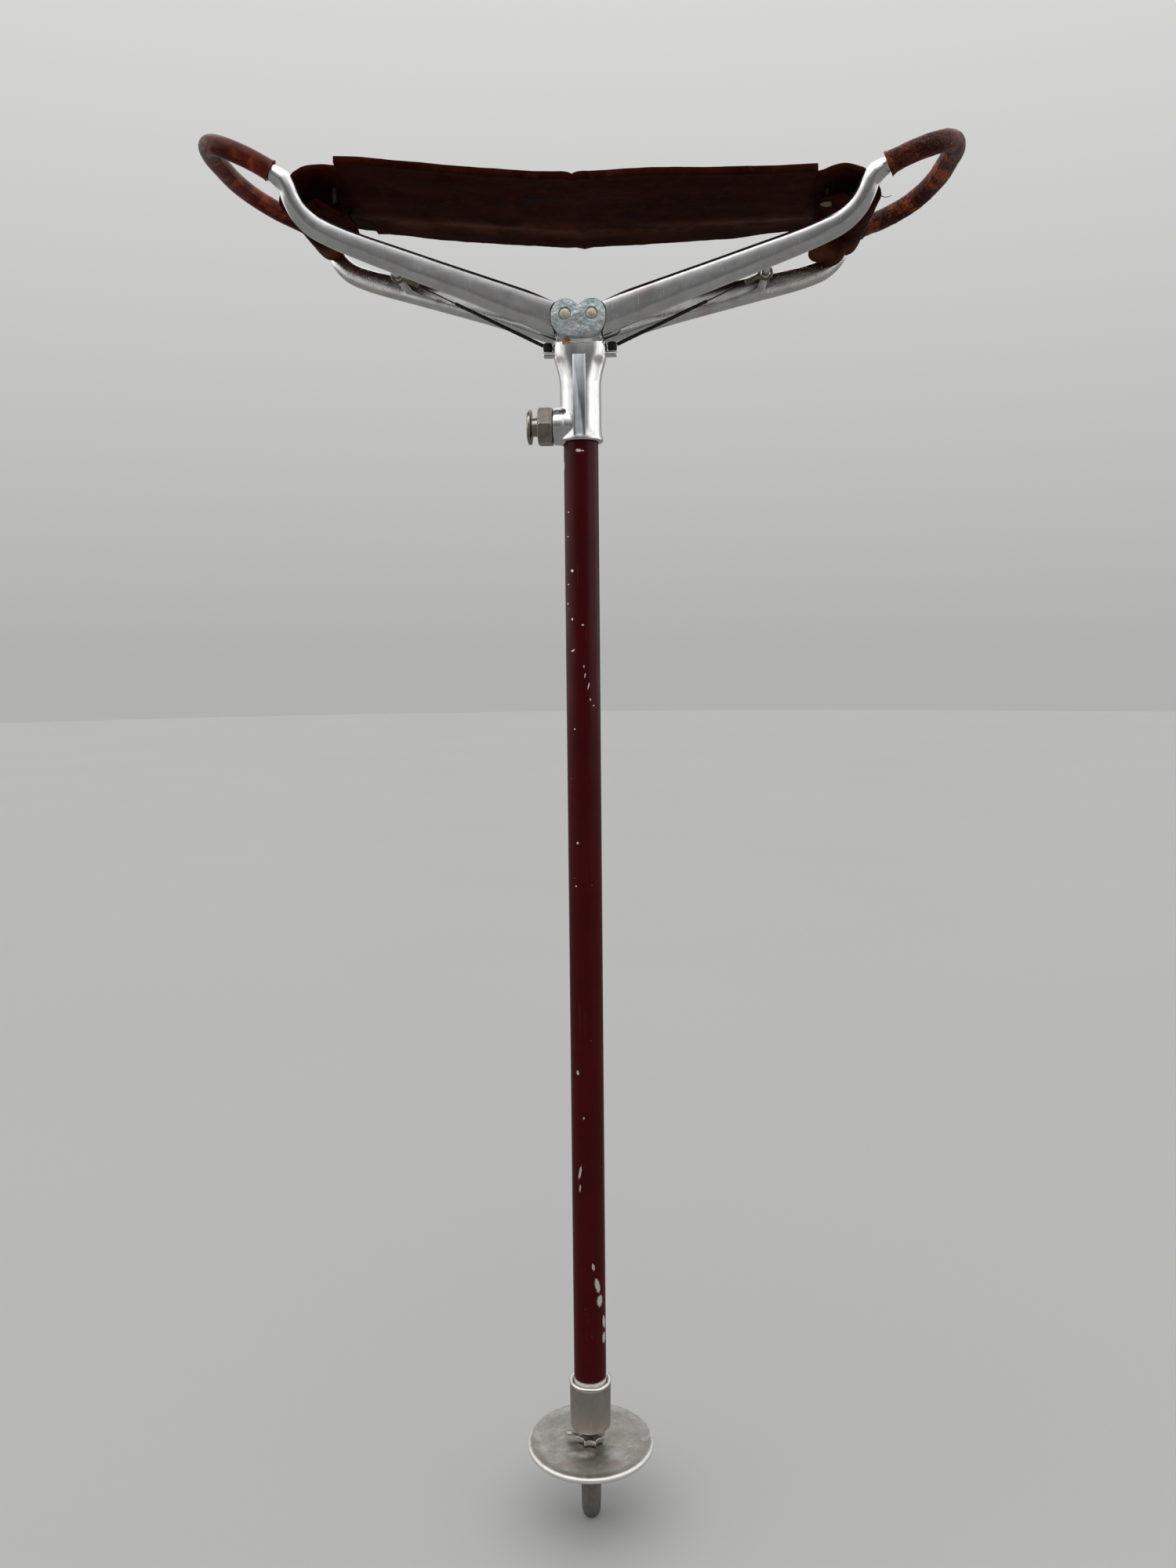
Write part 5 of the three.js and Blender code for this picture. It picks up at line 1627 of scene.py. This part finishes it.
def strap_sheet(side):
    """mid-surface grid, its rough normals and half thickness"""
    rows = LINE_COUNT + FLAP_COUNT
    grid = np.zeros((rows, ACROSS + 1, 3))
    normals = np.zeros_like(grid)
    half = np.zeros((rows, ACROSS + 1))
    for i in range(rows):
        q = (i - LINE_COUNT + 1) / FLAP_COUNT
        if i < LINE_COUNT:
            front, rear = strap_edges(i, side)
            tangent = LINE_TANGENTS[i]
        else:
            front = rear = 40.5 - 2.3 * smoothstep(0.05, 0.7, q)
            tangent = flap_line(min(q + 0.02, 1.0)) - flap_line(q - 0.02)
            tangent /= np.linalg.norm(tangent)
        normals[i] = normal = np.array([-tangent[1], 0, tangent[0]])
        for j in range(ACROSS + 1):
            y = -front + (front + rear) * (j / ACROSS)
            if i < MAIN_COUNT:
                x, z = LINE[i]
                grid[i, j] = x, y, z + seat_rise(x, y, side)
                half[i, j] = 1.75 + 0.35 * smoothstep(-front + 5, -front + 1.5, y)
            elif i < LINE_COUNT:
                grid[i, j] = tab_point(i, y, normal, side)
                half[i, j] = 1.6
            else:
                grid[i, j] = flap_point(q, y, front, side)
                half[i, j] = 1.55 - 0.5 * smoothstep(0.9, 1.0, q)
    return grid, normals, half


def sheet_normals(grid, rough_normals):
    """true normals of the sheet, facing the same way as the rough ones"""
    normals = np.cross(np.gradient(grid, axis=1), np.gradient(grid, axis=0))
    normals /= np.maximum(np.linalg.norm(normals, axis=2)[:, :, None], 1e-9)
    facing = np.sign(np.sum(normals * rough_normals, axis=2))
    facing[facing == 0] = 1
    normals *= facing[:, :, None]
    for i in (0, 1):                    # eased to vertical at the crease
        normals[i] = normals[i] * (0.5 * i) + np.array([0, 0, 1.0]) * (1 - 0.5 * i)
        normals[i] /= np.linalg.norm(normals[i], axis=1)[:, None]
    # at the width step the rough normals are kept
    step = slice(MAIN_COUNT - 2, MAIN_COUNT + 2)
    normals[step] = rough_normals[step]
    return normals


def strap_material(i, j):
    """slot of the face at row i and place j round the ring"""
    if j < ACROSS:                      # top of the seat, then the outside of the wrap
        return 1 if i < MAIN_COUNT + 14 else 2
    if ACROSS + EDGE < j < 2 * ACROSS + EDGE + 1:
        return 0 if i < MAIN_COUNT + 20 else 2
    return 3


def sling(side):
    grid, rough_normals, half = strap_sheet(side)
    normals = sheet_normals(grid, rough_normals)
    below = half.copy()                 # thinner underneath, where the strap lies on the arms
    for i in range(MAIN_COUNT):
        for j in range(ACROSS + 1):
            x, y, _ = grid[i, j]
            below[i, j] -= 1.10 * smoothstep(30, 22, abs(y)) * smoothstep(42, 30, x)
    upper = grid + normals * half[:, :, None]
    lower = grid - normals * below[:, :, None]
    turns = [math.pi * k / (EDGE + 1) for k in range(1, EDGE + 1)]
    rearward = np.array([0, 1.0, 0])
    verts = []
    for i in range(len(grid)):
        rear_out = normals[i, -1] * half[i, -1]
        front_out = normals[i, 0] * half[i, 0]
        verts += list(upper[i])
        verts += [grid[i, -1] + rear_out * math.cos(a) + rearward * 0.55 * math.sin(a) ** 0.6
                  for a in turns]       # rear edge, squarish
        verts += list(lower[i][::-1])
        verts += [grid[i, 0] - front_out * math.cos(a) - rearward * 0.9 * math.sin(a) ** 0.7
                  for a in turns]       # front edge, rounded
    rows, around = len(grid), 2 * (ACROSS + 1 + EDGE)
    slots = [strap_material(i, j) for i in range(rows - 1) for j in range(around)] + [0, 3]
    ob = new_obj("sling_half_" + side, [hung(v, side) for v in verts],
                 ring_faces(rows, around) + cap_faces(rows, around))
    for face, slot in zip(ob.data.polygons, slots):
        face.material_index = slot
    place(sided(ob, side), SLING, "sling_" + side, "sling_" + side, sharp=50)
    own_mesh(ob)
    return ob


STUD_X, STUD_Y = 150.5, 22
# (radius, height) above the underside, below the top, and of the washer above the underside
STUD_FOOT = [(0, -0.35), (1.0, -0.3), (2.0, 0), (2.7, 0.45), (3.05, 0.95), (3.0, 1.5), (1.6, 1.6)]
STUD_HEAD = [(1.5, -0.8), (2.85, -0.75), (3.0, -0.45), (2.6, -0.2), (1.5, -0.02), (0, 0.03)]
WASHER = [(2.9, 0.75), (3.9, 0.8), (4.15, 1.05), (4.1, 1.3), (2.9, 1.5)]


def sling_stud(side, sign, end, strap_points):
    """stud through the strap's layers, fitted to the strap where it stands"""
    x, y = hung((STUD_X, 0, 822), side)[0], sign * STUD_Y
    near = strap_points[(np.abs(strap_points[:, 0] * SIGN[side] - x) < 2.6)
                        & (np.abs(strap_points[:, 1] - y) < 2.6)]
    low = near[:, 2].min() - LIFT - 0.55
    top = near[:, 2].max() - LIFT - 0.02
    profile = [(r, low + h) for r, h in STUD_FOOT] + [(r, top + h) for r, h in STUD_HEAD]
    stud = revolve(f"sling_stud_{side}_{end}", profile, 32, at=(x, y, 0))
    washer = [(r, low + h) for r, h in WASHER]
    union(stud, revolve("washer", washer, 32, at=(x, y, 0), closed=True))
    place(sided(stud, side), RIVET_STEEL, "sling_" + side, f"sling_rivet_{side}_{end}", sharp=50)


def loose_thread():
    """a loose end of stitching at the right-hand tab"""
    path = [hung((179.0 + 6.3 * q, -40 + 1.5 * math.sin(q * 3), 823.0 - 1.6 * q + 1.8 * q * q),
                 "right") for q in np.linspace(0, 1, 24)]
    thread = sweep("loose_thread", path, lambda share, i: 0.32 * (1 - 0.6 * share), 8)
    place(thread, CORD, "sling_right", sharp=80)


for side in SIGN:
    strap = sling(side)
    strap_points = np.array([v.co[:] for v in strap.data.vertices]) * 1000
    for s, end in ENDS:
        sling_stud(side, s, end, strap_points)
loose_thread()

# ------------------------------------------------------------------ floor
FLOOR_R = 12            # metres
floor = new_obj("floor_disc", [(FLOOR_R * math.cos(a), FLOOR_R * math.sin(a), 0)
                               for a in np.linspace(0, 2 * math.pi, 97)[:-1]], [tuple(range(96))])
floor.data.materials.append(floor_material("floor_grey"))

# ------------------------------------------------------------------ camera
CAM_LENS = 28.8
CAM_DISTANCE = 827.97203                    # mm to the aimed-at height on the axis
CAM_HEIGHT = 464                            # mm, height aimed at
CAM_SIDESTEP = 2.38095                      # mm to the camera's right
CAM_YAW, CAM_ROLL = math.radians(3.4), math.radians(-0.55)
CAM_PITCH = math.atan(0.1056)               # downward slope of the view


def camera():
    c, s = math.cos(CAM_YAW), math.sin(CAM_YAW)
    yaw = np.array([[c, -s, 0], [s, c, 0], [0, 0, 1]])
    forward = np.array([0, math.cos(CAM_PITCH), -math.sin(CAM_PITCH)])
    up = np.array([0, math.sin(CAM_PITCH), math.cos(CAM_PITCH)])
    right = np.array([1.0, 0, 0])
    rolled_right = math.cos(CAM_ROLL) * right + math.sin(CAM_ROLL) * up
    rolled_up = -math.sin(CAM_ROLL) * right + math.cos(CAM_ROLL) * up
    place_mm = yaw @ (-CAM_DISTANCE * forward + CAM_SIDESTEP * right)
    place_mm += np.array([0, 0, CAM_HEIGHT + LIFT])
    axes = np.stack([yaw @ rolled_right, yaw @ rolled_up, -(yaw @ forward)], 1)
    data = bpy.data.cameras.new("cam")
    data.sensor_width = 36.0
    data.lens = CAM_LENS
    data.clip_start, data.clip_end = 0.02, 60
    cam = bpy.data.objects.new("cam", data)
    bpy.context.scene.collection.objects.link(cam)
    rows = [[*axes[i], place_mm[i] / 1000] for i in range(3)]
    cam.matrix_world = Matrix([*rows, [0, 0, 0, 1]])
    bpy.context.scene.camera = cam


# ------------------------------------------------------------------ light
def studio():
    """bright overhead, glowing panels at both sides, dimmer in front; the camera sees a plain wall"""
    world = bpy.data.worlds.new("studio")
    bpy.context.scene.world = world
    world.use_nodes = True
    sky = Nodes(world.node_tree, "Generated")
    x, y, z = sky.xyz()
    top = sky.math("POWER", sky.ramp(z, over=(0.05, 0.88)), 1.6)
    panels = sky.times(sky.ramp(sky.size(x), over=(0.60, 0.84)),
                       sky.ramp(sky.size(sky.minus(z, 0.12)), over=(0.62, 0.28)))
    front = sky.times(sky.ramp(y, over=(-0.35, -0.95)), sky.ramp(z, over=(0.75, 0.35)))
    # fill, plus overhead and panels, less the front
    level = sky.plus(0.24, sky.times(top, 1.45))
    level = sky.plus(level, sky.times(panels, 0.85))
    level = sky.minus(level, sky.times(front, 0.13))
    uneven = sky.patches(scale=2.6, detail=2, warp=0.3, over=(0.36, 0.64), to=(0.72, 1.30))
    level = sky.times(level, uneven)
    lighting = sky.node("ShaderNodeBackground")
    sky.put(lighting.inputs[0], sky.mix(0.5, (0.97, 0.98, 1.0), (1.0, 0.99, 0.97)))
    sky.put(lighting.inputs[1], level)
    wall = sky.node("ShaderNodeBackground")
    sky.put(wall.inputs[0], (0.985, 0.99, 0.975))
    sky.put(wall.inputs[1], sky.ramp(z, over=(0.0, 0.45), to=(0.445, 0.70)))
    switch = sky.node("ShaderNodeMixShader")
    sky.put(switch.inputs[0], sky.node("ShaderNodeLightPath").outputs["Is Camera Ray"])
    sky.put(switch.inputs[1], lighting.outputs[0])
    sky.put(switch.inputs[2], wall.outputs[0])
    sky.put(sky.node("ShaderNodeOutputWorld").inputs[0], switch.outputs[0])


def key_light():
    """broad soft sun from above"""
    sun = bpy.data.lights.new("key", "SUN")
    sun.energy = 0.55
    sun.angle = math.radians(55)
    ob = bpy.data.objects.new("key", sun)
    bpy.context.scene.collection.objects.link(ob)
    ob.rotation_euler = (math.radians(28), math.radians(-10), 0)


camera()
studio()
key_light()

view = bpy.context.scene.view_settings
view.view_transform = "Standard"
view.look = "None"
